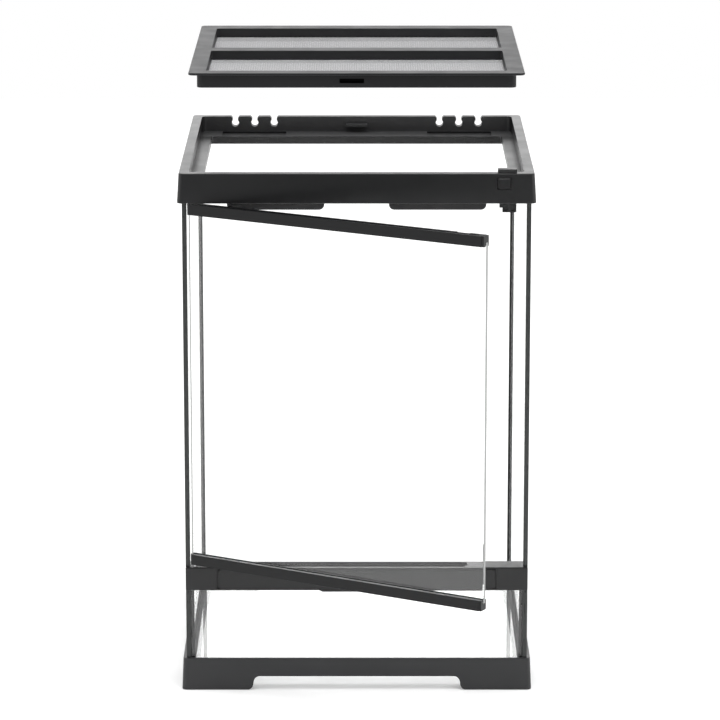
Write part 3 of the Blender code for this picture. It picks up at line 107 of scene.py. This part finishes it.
# Moulded plastic: a spark-eroded grain, a slow drift in tone and a little unevenness in the shine
plasticLooks = {
    "frame": {
        "name": "charcoal frame plastic",
        "deep": (0.012, 0.0122, 0.013), "pale": (0.017, 0.0173, 0.0182),
        "drift": 18, "shine": (0.30, 0.36), "gloss": 0.5,
        "grain": 1900, "grainStrength": 0.06, "grainDepth": 0.00002,
    },
    # Painted light: a lighter copy of the charcoal plastic for the rear ledge and wall of the lid recess
    # and for the cable gates on that ledge; the rougher shine is its matt finish
    "recess": {
        "name": "matt recess plastic painted lighter",
        "deep": (0.042, 0.0425, 0.044), "pale": (0.056, 0.0565, 0.058),
        "drift": 26, "shine": (0.44, 0.54), "gloss": 0.5,
        "grain": 1500, "grainStrength": 0.08, "grainDepth": 0.00002,
    },
    # Painted shade: a darker copy of the charcoal plastic for the vent bar and its cover, holding back the
    # light the white floor throws on them
    "bar": {
        "name": "charcoal bar plastic painted darker",
        "deep": (0.006, 0.0061, 0.0066), "pale": (0.009, 0.0092, 0.0098),
        "drift": 18, "shine": (0.30, 0.36), "gloss": 0.5,
        "grain": 1900, "grainStrength": 0.06, "grainDepth": 0.00002,
    },
    # Painted light: a lighter copy of the charcoal plastic for the base frame and the door latch, standing
    # in for the white floor's light on the base front and for more light on the latch
    "base": {
        "name": "charcoal plastic painted lighter",
        "deep": (0.019, 0.0195, 0.021), "pale": (0.026, 0.0265, 0.028),
        "drift": 14, "shine": (0.34, 0.42), "gloss": 0.5,
        "grain": 1900, "grainStrength": 0.06, "grainDepth": 0.00002,
    },
    "lid": {
        "name": "charcoal lid plastic",
        "deep": (0.019, 0.0195, 0.021), "pale": (0.027, 0.0275, 0.029),
        "drift": 18, "shine": (0.40, 0.48), "gloss": 0.25,
        "grain": 1500, "grainStrength": 0.10, "grainDepth": 0.00003,
    },
    # Painted shade: a darker copy of the charcoal plastic for the door rails and their end caps
    "rail": {
        "name": "charcoal rail plastic painted darker",
        "deep": (0.007, 0.0072, 0.008), "pale": (0.010, 0.0103, 0.011),
        "drift": 18, "shine": (0.28, 0.34), "gloss": 0.30,
        "grain": 1900, "grainStrength": 0.06, "grainDepth": 0.00002,
    },
    # Painted shade: near-black plastic on the faces inside the lid's catch slots
    "hollow": {
        "name": "plastic painted black with slot shade",
        "deep": (0.0015, 0.0015, 0.0016), "pale": (0.003, 0.003, 0.003),
        "drift": 30, "shine": (0.60, 0.70), "gloss": 0.08,
        "grain": 2400, "grainStrength": 0.05, "grainDepth": 0.00002,
    },
    "dark": {
        "name": "black inner plastic",
        "deep": (0.014, 0.014, 0.015), "pale": (0.019, 0.019, 0.020),
        "drift": 30, "shine": (0.34, 0.44), "gloss": 0.5,
        "grain": 2400, "grainStrength": 0.08, "grainDepth": 0.00002,
    },
}
# How much fine detail each pattern holds, and how many times finer than the tone the shine varies
plasticDetail = {"drift": 4.0, "cloud": 3.0, "grain": 1.5}
cloudFineness = 3


def makePlastic(look):
    made, tree, shader, place = startMaterial(look["name"])
    shader.inputs["Specular IOR Level"].default_value = look["gloss"]
    drift = addNoise(tree, place, look["drift"], plasticDetail["drift"])
    tree.links.new(addBlend(tree, drift, look["deep"], look["pale"]), shader.inputs["Base Color"])
    cloud = addNoise(tree, place, look["drift"] * cloudFineness, plasticDetail["cloud"])
    tree.links.new(addRange(tree, cloud, *look["shine"]), shader.inputs["Roughness"])
    grain = addNoise(tree, place, look["grain"], plasticDetail["grain"])
    normal = addBump(tree, grain, look["grainStrength"], look["grainDepth"])
    tree.links.new(normal, shader.inputs["Normal"])
    return made


# Tooled silicone: a satin skin, with the slow ripple that a finger leaves along the bead
siliconeLook = {
    "name": "black silicone",
    "deep": (0.008, 0.008, 0.008), "pale": (0.014, 0.014, 0.015),
    "smear": 90, "smearDetail": 3.0, "shine": (0.42, 0.58), "gloss": 0.25,
    "ripple": 260, "rippleDetail": 1.0, "rippleStretch": (1, 1, 0.2),
    "rippleStrength": 0.2, "rippleDepth": 0.0002,
}


def makeSilicone(look):
    made, tree, shader, place = startMaterial(look["name"])
    shader.inputs["Specular IOR Level"].default_value = look["gloss"]
    smear = addNoise(tree, place, look["smear"], look["smearDetail"])
    tree.links.new(addBlend(tree, smear, look["deep"], look["pale"]), shader.inputs["Base Color"])
    tree.links.new(addRange(tree, smear, *look["shine"]), shader.inputs["Roughness"])
    ripple = addNoise(tree, place, look["ripple"], look["rippleDetail"], look["rippleStretch"])
    normal = addBump(tree, ripple, look["rippleStrength"], look["rippleDepth"])
    tree.links.new(normal, shader.inputs["Normal"])
    return made


# Metal: streaks from drawing in the bare wire, a matt black coat on the vent's
metalLooks = {
    "wire": {
        "name": "woven steel wire",
        "deep": (0.41, 0.41, 0.418), "pale": (0.56, 0.56, 0.57),
        "shine": (0.34, 0.50), "streak": 900, "metal": 1.0, "gloss": 0.5,
    },
    "coated": {
        "name": "black coated wire",
        "deep": (0.014, 0.014, 0.015), "pale": (0.024, 0.024, 0.025),
        "shine": (0.50, 0.62), "streak": 900, "metal": 0.0, "gloss": 0.05,
    },
    "steel": {
        "name": "drawn steel",
        "deep": (0.46, 0.46, 0.47), "pale": (0.62, 0.62, 0.62),
        "shine": (0.20, 0.34), "streak": 1400, "metal": 1.0, "gloss": 0.5,
    },
}


def makeMetal(look):
    made, tree, shader, place = startMaterial(look["name"])
    shader.inputs["Metallic"].default_value = look["metal"]
    shader.inputs["Specular IOR Level"].default_value = look["gloss"]
    streak = addNoise(tree, place, look["streak"])
    tree.links.new(addBlend(tree, streak, look["deep"], look["pale"]), shader.inputs["Base Color"])
    tree.links.new(addRange(tree, streak, *look["shine"]), shader.inputs["Roughness"])
    return made


# The faces of a pane: almost even, with the faint haze that wiping leaves
glassLook = {
    "name": "clear float glass", "tint": (0.997, 1.0, 0.998), "ior": 1.5,
    "haze": (0.0, 0.012), "wiping": 12, "wipingDetail": 3.0,
}


# Rays from the lamps pass straight through a pane, so that what stands inside is lit
def makeGlass(look):
    made, tree, shader, place = startMaterial(look["name"])
    shader.inputs["Base Color"].default_value = (*look["tint"], 1)
    shader.inputs["Transmission Weight"].default_value = 1.0
    shader.inputs["IOR"].default_value = look["ior"]
    wiping = addNoise(tree, place, look["wiping"], look["wipingDetail"])
    tree.links.new(addRange(tree, wiping, *look["haze"]), shader.inputs["Roughness"])
    clear = tree.nodes.new("ShaderNodeBsdfTransparent")
    clear.inputs["Color"].default_value = (*look["tint"], 1)
    path = tree.nodes.new("ShaderNodeLightPath")
    mix = tree.nodes.new("ShaderNodeMixShader")
    tree.links.new(path.outputs["Is Shadow Ray"], mix.inputs["Fac"])
    tree.links.new(shader.outputs["BSDF"], mix.inputs[1])
    tree.links.new(clear.outputs["BSDF"], mix.inputs[2])
    output = next(n for n in tree.nodes if n.type == "OUTPUT_MATERIAL")
    tree.links.new(mix.outputs["Shader"], output.inputs["Surface"])
    return made


# The narrow edge of a pane, seen along the whole width of the glass, with fine grinding marks; its grey is
# painted reflection, dark where it shows the black frame and pale where it shows the bright room
edgeLooks = {
    "paintedDarkEdge": {
        "name": "ground glass edge",
        "deep": (0.018, 0.020, 0.019), "pale": (0.038, 0.041, 0.040),
    },
    "lightEdge": {
        "name": "ground glass edge in light",
        "deep": (0.30, 0.31, 0.305), "pale": (0.44, 0.452, 0.447),
    },
}
grinding = {
    "marks": 700, "stretch": (1, 1, 0.12), "shine": (0.22, 0.42), "strength": 0.25, "depth": 0.00005,
}


def makeEdge(look):
    made, tree, shader, place = startMaterial(look["name"])
    marks = addNoise(tree, place, grinding["marks"], stretch=grinding["stretch"])
    tree.links.new(addBlend(tree, marks, look["deep"], look["pale"]), shader.inputs["Base Color"])
    tree.links.new(addRange(tree, marks, *grinding["shine"]), shader.inputs["Roughness"])
    normal = addBump(tree, marks, grinding["strength"], grinding["depth"])
    tree.links.new(normal, shader.inputs["Normal"])
    return made


materials = {key: makePlastic(look) for key, look in plasticLooks.items()}
materials["silicone"] = makeSilicone(siliconeLook)
for key, look in metalLooks.items():
    materials[key] = makeMetal(look)
materials["glass"] = makeGlass(glassLook)
for key, look in edgeLooks.items():
    materials[key] = makeEdge(look)
say("finishes mixed")


# Meshes

# How near two corners of a node's loose triangles are one, and how far from flat a flat face may be
joinReach = 0.00001
flatAngle = math.radians(0.5)


def finishPiece(name, work, body, slot, replaced, *finishes):
    mesh = bpy.data.meshes.new(name)
    work.to_mesh(mesh)
    work.free()
    piece = bpy.data.objects.new(name, mesh)
    bpy.context.scene.collection.objects.link(piece)
    for finish in finishes:
        mesh.materials.append(finish)
    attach(piece, body)
    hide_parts(*replaced)
    return piece


# A copy of a node with its corners joined up and its flat faces whole again
def mergedCopy(node):
    work = bmesh.new()
    work.from_mesh(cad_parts[node].data)
    bmesh.ops.remove_doubles(work, verts=work.verts, dist=joinReach)
    bmesh.ops.dissolve_limit(work, angle_limit=flatAngle, verts=work.verts, edges=work.edges)
    return work


# Takes the sharpness off a moulding's outer corners, apart from the shortest ones
def easeCorners(work, width, leastAngle=50, segments=2):
    leastLength = 3 * width
    sharp = []
    for edge in work.edges:
        if len(edge.link_faces) != 2 or not edge.is_convex:
            continue
        if edge.calc_face_angle() > math.radians(leastAngle) and edge.calc_length() > leastLength:
            sharp.append(edge)
    bmesh.ops.bevel(
        work, geom=sharp, offset=width, segments=segments, affect="EDGES", profile=0.5,
        material=-1, clamp_overlap=True,
    )


# Smooth round the eased corners, while the flat faces stay flat
def shadeRounded(piece, sharpAngle=32):
    piece.data.shade_smooth()
    piece.data.set_sharp_from_angle(angle=math.radians(sharpAngle))
    even = piece.modifiers.new("even shading", "WEIGHTED_NORMAL")
    even.mode = "FACE_AREA"
    even.weight = 100
    even.keep_sharp = True


# The mouldings: node, body, finish, slot and how much its corners are eased
mouldings = {
    "base_frame": {"body": "root", "finish": "base", "slot": "frame_plastic", "ease": 0.00025},
    "top_frame": {"body": "root", "finish": "frame", "slot": "frame_plastic", "ease": 0.00022},
    # The vent bar and its cover take the darker bar plastic, painted shade
    "vent_bar": {"body": "root", "finish": "bar", "slot": "frame_plastic", "ease": 0.00022},
    "vent_cover": {"body": "root", "finish": "bar", "slot": "frame_plastic", "ease": 0.0},
    # The cable gates take the lighter recess plastic, painted light from above
    "cable_gate_left": {"body": "gate_left", "finish": "recess", "slot": "frame_plastic", "ease": 0.0002},
    "cable_gate_right": {"body": "gate_right", "finish": "recess", "slot": "frame_plastic", "ease": 0.0002},
    # The door rails and end caps take the darker rail plastic, painted shade
    "door_top_rail": {"body": "door", "finish": "rail", "slot": "frame_plastic", "ease": 0.0008},
    "door_bottom_rail": {"body": "door", "finish": "rail", "slot": "frame_plastic", "ease": 0.0008},
    "door_end_cap_top": {"body": "door", "finish": "rail", "slot": "frame_plastic", "ease": 0.0002},
    "door_end_cap_bottom": {"body": "door", "finish": "rail", "slot": "frame_plastic", "ease": 0.0002},
    "latch_button": {"body": "latch", "finish": "frame", "slot": "frame_plastic", "ease": 0.0},
    "lid_frame": {"body": "lid", "finish": "lid", "slot": "lid_plastic", "ease": 0.00022},
    "mesh_clamp_front": {"body": "lid", "finish": "lid", "slot": "lid_plastic", "ease": 0.0002},
    "mesh_clamp_rear": {"body": "lid", "finish": "lid", "slot": "lid_plastic", "ease": 0.0002},
    "door_stop_left": {"body": "root", "finish": "dark", "slot": "dark_plastic", "ease": 0.0002},
    "door_stop_right": {"body": "root", "finish": "dark", "slot": "dark_plastic", "ease": 0.0002},
    "latch_cover": {"body": "root", "finish": "dark", "slot": "dark_plastic", "ease": 0.0002},
    # The door latch takes the lighter base plastic, painted light
    "door_latch": {"body": "latch", "finish": "base", "slot": "dark_plastic", "ease": 0.0},
    "lock_slider": {"body": "lock", "finish": "frame", "slot": "dark_plastic", "ease": 0.0004},
    "hinge_bush_top": {"body": "root", "finish": "dark", "slot": "dark_plastic", "ease": 0.0},
    "hinge_bush_bottom": {"body": "root", "finish": "dark", "slot": "dark_plastic", "ease": 0.0},
    "seal_rear_left": {"body": "root", "finish": "silicone", "slot": "silicone", "ease": 0.0},
    "seal_rear_right": {"body": "root", "finish": "silicone", "slot": "silicone", "ease": 0.0},
    "seal_front_left": {"body": "root", "finish": "silicone", "slot": "silicone", "ease": 0.0},
    "seal_front_right": {"body": "root", "finish": "silicone", "slot": "silicone", "ease": 0.0},
    "floor_seal": {"body": "root", "finish": "silicone", "slot": "silicone", "ease": 0.0},
}

# The push button's face: its depth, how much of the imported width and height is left, and how far it
# leans back over the height of the top frame
button = {"faceDepth": 0.004, "width": 0.965, "height": 0.96, "lean": 0.0015}
topLow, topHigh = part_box("top_frame")


# Leans the push button's face back like the frame around it, and leaves a clear seam round it
def leanButton(work):
    leanPerHeight = button["lean"] / (topHigh.z - topLow.z)
    front = min(vert.co.y for vert in work.verts)
    face = [vert for vert in work.verts if vert.co.y < front + button["faceDepth"]]
    middle = sum((vert.co for vert in face), Vector()) / len(face)
    for vert in face:
        vert.co.x = middle.x + (vert.co.x - middle.x) * button["width"]
        vert.co.z = middle.z + (vert.co.z - middle.z) * button["height"]
        vert.co.y += (vert.co.z - middle.z) * leanPerHeight


# The upright seals: which corner each fills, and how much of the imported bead's width shows
seals = {
    "seal_rear_left": {"side": -1, "end": 1, "width": 0.62},
    "seal_rear_right": {"side": 1, "end": 1, "width": 0.62},
    "seal_front_left": {"side": -1, "end": -1, "width": 1.0},
    "seal_front_right": {"side": 1, "end": -1, "width": 1.0},
}
sealGap = 0.00028  # between a packed bead and the glass


# Presses a bead into its corner until it wets both panes
def pressSeal(work, plan):
    ways = ((0, plan["side"]), (1, plan["end"]))
    corner = [way * max(way * vert.co[axis] for vert in work.verts) for axis, way in ways]
    for vert in work.verts:
        for axis, way in ways:
            inward = (vert.co[axis] - corner[axis]) * plan["width"]
            vert.co[axis] = corner[axis] + inward + way * sealGap


# The rear of the lid recess, its ledge and wall, is left matt by the mould, and gets a lighter copy of the
# plastic as painted light from above
recess = {
    "reach": 0.0395,  # from the frame's back
    "ledgeDrop": 0.0135,  # from the rim to the ledge
    "ledgeSlack": 0.002, "rimSlack": 0.0005,
    "facing": 0.9, "cutSlack": 0.000001,
}


def paintRecessLight(work):
    front = topHigh.y - recess["reach"]
    ledgeTop = topHigh.z - recess["ledgeDrop"]
    geometry = list(work.verts) + list(work.edges) + list(work.faces)
    bmesh.ops.bisect_plane(
        work, geom=geometry, dist=recess["cutSlack"], plane_co=(0, front, 0), plane_no=(0, 1, 0)
    )
    for face in work.faces:
        middle = face.calc_center_median()
        if middle.y < front or middle.z > topHigh.z - recess["rimSlack"]:
            continue
        ledge = face.normal.z > recess["facing"] and middle.z > ledgeTop - recess["ledgeSlack"]
        wall = face.normal.y < -recess["facing"] and middle.z > ledgeTop
        if ledge or wall:
            face.material_index = 1


# The faces inside the two catch slots in the lid's skirt get a near-black plastic as painted shade, for
# slots too deep for the light. Heights are from the flange down.
slotSize = {"top": 0.0055, "bottom": 0.0095, "halfLength": 0.0103, "depth": 0.0036, "lip": 0.0002}
skirtInset = 0.0069
lidLow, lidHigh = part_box("lid_frame")
catchSlots = {
    "front": {"middle": -0.004, "mouth": lidLow.y + skirtInset, "way": 1},
    "rear": {"middle": 0.0, "mouth": lidHigh.y - skirtInset, "way": -1},
}


def paintSlotShade(work):
    for face in work.faces:
        middle = face.calc_center_median()
        drop = lidHigh.z - middle.z
        for slot in catchSlots.values():
            depth = (middle.y - slot["mouth"]) * slot["way"]
            beside = abs(middle.x - slot["middle"])
            within = beside < slotSize["halfLength"] and slotSize["top"] < drop < slotSize["bottom"]
            if within and slotSize["lip"] < depth < slotSize["depth"]:
                face.material_index = 1


for node, plan in mouldings.items():
    shape = mergedCopy(node)
    finishes = [materials[plan["finish"]]]
    # The lid's catch slots get the near-black plastic, painted shade
    if node == "lid_frame":
        paintSlotShade(shape)
        finishes.append(materials["hollow"])
    if node == "latch_button":
        leanButton(shape)
    if node in seals:
        pressSeal(shape, seals[node])
    # The rear recess faces get the lighter plastic, painted light from above
    if node == "top_frame":
        paintRecessLight(shape)
        finishes.append(materials["recess"])
    if plan["ease"] > 0:
        easeCorners(shape, plan["ease"])
    moulding = finishPiece(
        node + "_finished", shape, plan["body"], plan["slot"], [node], *finishes
    )
    shadeRounded(moulding)
say("mouldings finished")

# The nodes that stay as they are
for node in ("latch_spring", "hinge_pin_top", "hinge_pin_bottom"):
    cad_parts[node].data.materials.clear()
    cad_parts[node].data.materials.append(materials["steel"])
say("spring and pins finished")


# The panes, with clear faces and ground, chamfered edges. Dark and light name the sides whose edges get a
# painted reflection of the black frame or of the bright room.
panes = {
    "floor_glass": {"body": "root", "dark": (), "light": ()},
    "left_glass": {"body": "root", "dark": ("front",), "light": ()},
    "right_glass": {"body": "root", "dark": ("front",), "light": ()},
    "rear_glass": {"body": "root", "dark": (), "light": ()},
    "front_lower_glass": {"body": "root", "dark": ("left", "right"), "light": ()},
    "door_glass": {"body": "door", "dark": (), "light": ("left", "right")},
}
paneSides = {"front": (0, -1, 0), "left": (-1, 0, 0), "right": (1, 0, 0)}
paneChamfer = {"width": 0.0003, "leastAngle": 60, "segments": 1}
edgeFacing = 0.6  # how nearly an edge and its chamfers face their side
edgeShare = 0.5  # an edge is smaller than this share of the pane's face


def makePane(node, plan):
    work = mergedCopy(node)
    easeCorners(work, paneChamfer["width"], paneChamfer["leastAngle"], paneChamfer["segments"])
    largest = max(face.calc_area() for face in work.faces)
    for face in work.faces:
        for finish, sides in ((1, plan["light"]), (2, plan["dark"])):
            facing = any(face.normal.dot(Vector(paneSides[side])) > edgeFacing for side in sides)
            if facing and face.calc_area() < largest * edgeShare:
                face.material_index = finish
    finishPiece(
        node + "_pane", work, plan["body"], "glass", [node],
        materials["glass"], materials["lightEdge"], materials["paintedDarkEdge"],
    )


for node, plan in panes.items():
    makePane(node, plan)
say("panes cut and ground")


# Woven wire: each wire goes over and under the ones that cross it
weaves = {
    "lid_mesh_front": {
        "body": "lid", "pitch": 0.0020, "wire": 0.0004, "margin": 0.0006,
        "finish": "wire", "slot": "wire_mesh",
    },
    "lid_mesh_rear": {
        "body": "lid", "pitch": 0.0020, "wire": 0.0004, "margin": 0.0006,
        "finish": "wire", "slot": "wire_mesh",
    },
    "vent_mesh": {
        "body": "root", "pitch": 0.0013, "wire": 0.0003, "margin": 0.0003,
        "finish": "coated", "slot": "dark_plastic",
    },
}
wireSides = 4


# Lays wires side by side: two neighbours in opposite phase, repeated across the piece
def layWires(work, start, along, across, crossings, wires, thickness, phase):
    swing = Vector((0, 0, thickness / 2))
    before = len(work.verts), len(work.edges), len(work.faces)
    for side in (0, 1):
        foot = start + side * across
        count = len(work.verts)
        end = bmesh.ops.create_circle(work, cap_ends=True, segments=wireSides, radius=thickness / 2)
        ring = end["verts"]
        bmesh.ops.rotate(work, verts=ring, matrix=along.to_track_quat("Z", "Y").to_matrix())
        bmesh.ops.translate(work, verts=ring, vec=foot)
        cap = list({face for vert in ring for face in vert.link_faces})
        bmesh.ops.spin(
            work, geom=ring + cap, cent=foot, axis=(0, 0, 1), dvec=along, angle=0, steps=crossings
        )
        up = []
        down = []
        for vert in list(work.verts)[count:]:
            step = round((vert.co - foot).dot(along) / along.length_squared)
            if (step + side + phase) % 2 == 0:
                up.append(vert)
            else:
                down.append(vert)
        bmesh.ops.translate(work, verts=up, vec=swing)
        bmesh.ops.translate(work, verts=down, vec=-swing)
    laid = list(work.verts)[before[0]:] + list(work.edges)[before[1]:] + list(work.faces)[before[2]:]
    bmesh.ops.spin(
        work, geom=laid, cent=start, axis=(0, 0, 1), dvec=2 * across, angle=0, steps=wires // 2 - 1,
        use_duplicate=True,
    )


def makeWeave(node, plan):
    low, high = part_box(node)
    pitch = plan["pitch"]
    middle = (low + high) / 2
    crossings = []  # an odd number each way, so that the wires come in pairs
    for axis in (0, 1):
        count = int((high[axis] - low[axis] - 2 * plan["margin"]) / pitch)
        crossings.append(count - 1 + count % 2)
    start = middle - Vector((crossings[0], crossings[1], 0)) * pitch / 2
    alongX = Vector((pitch, 0, 0))
    alongY = Vector((0, pitch, 0))
    work = bmesh.new()
    layWires(work, start, alongX, alongY, crossings[0], crossings[1] + 1, plan["wire"], 0)
    layWires(work, start, alongY, alongX, crossings[1], crossings[0] + 1, plan["wire"], 1)
    bmesh.ops.recalc_face_normals(work, faces=work.faces)
    weave = finishPiece(
        node + "_woven", work, plan["body"], plan["slot"], [node], materials[plan["finish"]]
    )
    weave.data.shade_smooth()


for node, plan in weaves.items():
    makeWeave(node, plan)
say("wire woven")


# The studio: a white floor, five soft lamps and a surround that is dim in front and below, and bright
# beside, behind and above
baseLow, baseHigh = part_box("base_frame")
tankX = (baseLow.x + baseHigh.x) / 2
tankY = (baseLow.y + baseHigh.y) / 2
standZ = baseLow.z
white = (1, 1, 1, 1)

floorPlan = {
    "reach": 3.0, "drop": 0.0002, "colour": (0.92, 0.92, 0.92), "roughness": 0.9,
    "glow": 0.22, "glint": 0.05,  # as the camera sees it, and as the mouldings mirror it
}
surround = {
    "dimLevel": 0.07, "fullLevel": 0.77, "dimFrom": -0.98, "dimTo": -0.45,
    "underLevel": 0.05, "underFrom": -0.12, "underTo": 0.0,
    "overLevel": 1.35, "overFrom": 0.3, "overTo": 0.9,
}
# Places and aims are measured from the floor under the middle of the tank
lamps = {
    "front_lamp": {"place": (1.9, -2.3, 2.6), "aim": (0.0, 0.0, 0.25), "size": (1.6, 1.6), "power": 13.0},
    "top_lamp": {"place": (0.0, -0.8, 3.1), "aim": (0.0, 0.0, 0.40), "size": (1.4, 0.8), "power": 27.0},
    "back_lamp": {"place": (0.0, 2.6, 0.95), "aim": (0.0, 0.0, 0.30), "size": (3.4, 0.7), "power": 10.0},
    "left_lamp": {"place": (-2.4, -0.3, 1.0), "aim": (0.0, 0.0, 0.30), "size": (2.0, 1.6), "power": 7.0},
    "right_lamp": {"place": (2.4, -0.3, 1.0), "aim": (0.0, 0.0, 0.30), "size": (2.0, 1.6), "power": 7.0},
}


# One where a ray comes from the camera, straight or through glass
def addSeen(tree):
    path = tree.nodes.new("ShaderNodeLightPath")
    either = tree.nodes.new("ShaderNodeMath")
    either.operation = "MAXIMUM"
    tree.links.new(path.outputs["Is Camera Ray"], either.inputs[0])
    tree.links.new(path.outputs["Is Transmission Ray"], either.inputs[1])
    return either.outputs[0]


def makeFloor(plan):
    work = bmesh.new()
    bmesh.ops.create_grid(work, x_segments=1, y_segments=1, size=plan["reach"])
    bmesh.ops.translate(work, verts=work.verts, vec=(tankX, tankY, standZ - plan["drop"]))
    mesh = bpy.data.meshes.new("studio_floor")
    work.to_mesh(mesh)
    work.free()
    floor = bpy.data.objects.new("studio_floor", mesh)
    bpy.context.scene.collection.objects.link(floor)
    paint, tree, shader, place = startMaterial("white floor")
    shader.inputs["Base Color"].default_value = (*plan["colour"], 1)
    shader.inputs["Roughness"].default_value = plan["roughness"]
    shader.inputs["Specular IOR Level"].default_value = 0.0
    shader.inputs["Emission Color"].default_value = white
    glow = tree.nodes.new("ShaderNodeMapRange")
    glow.inputs["To Min"].default_value = plan["glint"]
    glow.inputs["To Max"].default_value = plan["glow"]
    tree.links.new(addSeen(tree), glow.inputs["Value"])
    tree.links.new(glow.outputs["Result"], shader.inputs["Emission Strength"])
    mesh.materials.append(paint)


# A level that goes from one value to another between two heights or depths of the surround
def addBand(tree, value, fromLow, fromHigh, toLow, toHigh):
    band = tree.nodes.new("ShaderNodeMapRange")
    band.inputs["From Min"].default_value = fromLow
    band.inputs["From Max"].default_value = fromHigh
    band.inputs["To Min"].default_value = toLow
    band.inputs["To Max"].default_value = toHigh
    tree.links.new(value, band.inputs["Value"])
    return band


def addProduct(tree, first, second):
    product = tree.nodes.new("ShaderNodeMath")
    product.operation = "MULTIPLY"
    tree.links.new(first, product.inputs[0])
    tree.links.new(second, product.inputs[1])
    return product.outputs[0]


def makeWorld(plan):
    world = bpy.data.worlds.new("studio surround")
    bpy.context.scene.world = world
    world.use_nodes = True
    tree = world.node_tree
    tree.nodes.clear()
    output = tree.nodes.new("ShaderNodeOutputWorld")
    mix = tree.nodes.new("ShaderNodeMixShader")
    around = tree.nodes.new("ShaderNodeBackground")
    backdrop = tree.nodes.new("ShaderNodeBackground")
    backdrop.inputs["Strength"].default_value = 1.0
    coords = tree.nodes.new("ShaderNodeTexCoord")
    split = tree.nodes.new("ShaderNodeSeparateXYZ")
    tree.links.new(coords.outputs["Generated"], split.inputs["Vector"])
    depth = split.outputs["Y"]
    height = split.outputs["Z"]
    level = addBand(tree, depth, plan["dimFrom"], plan["dimTo"], plan["dimLevel"], plan["fullLevel"])
    level.interpolation_type = "SMOOTHSTEP"
    under = addBand(tree, height, plan["underFrom"], plan["underTo"], plan["underLevel"], 1.0)
    over = addBand(tree, height, plan["overFrom"], plan["overTo"], 1.0, plan["overLevel"])
    strength = addProduct(tree, level.outputs["Result"], under.outputs["Result"])
    strength = addProduct(tree, strength, over.outputs["Result"])
    tree.links.new(strength, around.inputs["Strength"])
    tree.links.new(addSeen(tree), mix.inputs["Fac"])
    for background in (around, backdrop):
        background.inputs["Color"].default_value = white
    tree.links.new(around.outputs["Background"], mix.inputs[1])
    tree.links.new(backdrop.outputs["Background"], mix.inputs[2])
    tree.links.new(mix.outputs["Shader"], output.inputs["Surface"])


def makeLamp(name, plan):
    light = bpy.data.lights.new(name, "AREA")
    light.shape = "RECTANGLE"
    light.size, light.size_y = plan["size"]
    light.energy = plan["power"]
    lamp = bpy.data.objects.new(name, light)
    bpy.context.scene.collection.objects.link(lamp)
    lamp.visible_camera = False
    tank = Vector((tankX, tankY, standZ))
    lamp.location = tank + Vector(plan["place"])
    toTank = tank + Vector(plan["aim"]) - lamp.location
    lamp.rotation_euler = toTank.to_track_quat("-Z", "Y").to_euler()


makeFloor(floorPlan)
makeWorld(surround)
for name, plan in lamps.items():
    makeLamp(name, plan)
bpy.context.scene.view_settings.view_transform = "Standard"
say("studio lit")


# The camera stands in front of the door, a hair to the right, and looks slightly down
view = {
    "right": 0.0016, "away": 3.212, "up": 1.011, "pitch": 13.23, "roll": -0.0004,
    "lens": 186.9, "sensor": 36.0,
}


def makeCamera(plan):
    lens = bpy.data.cameras.new("camera")
    lens.lens = plan["lens"]
    lens.sensor_width = plan["sensor"]
    camera = bpy.data.objects.new("camera", lens)
    bpy.context.scene.collection.objects.link(camera)
    camera.location = (tankX + plan["right"], tankY - plan["away"], standZ + plan["up"])
    camera.rotation_euler = (math.radians(90 - plan["pitch"]), 0, plan["roll"])
    bpy.context.scene.camera = camera


makeCamera(view)

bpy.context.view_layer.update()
say("ready")
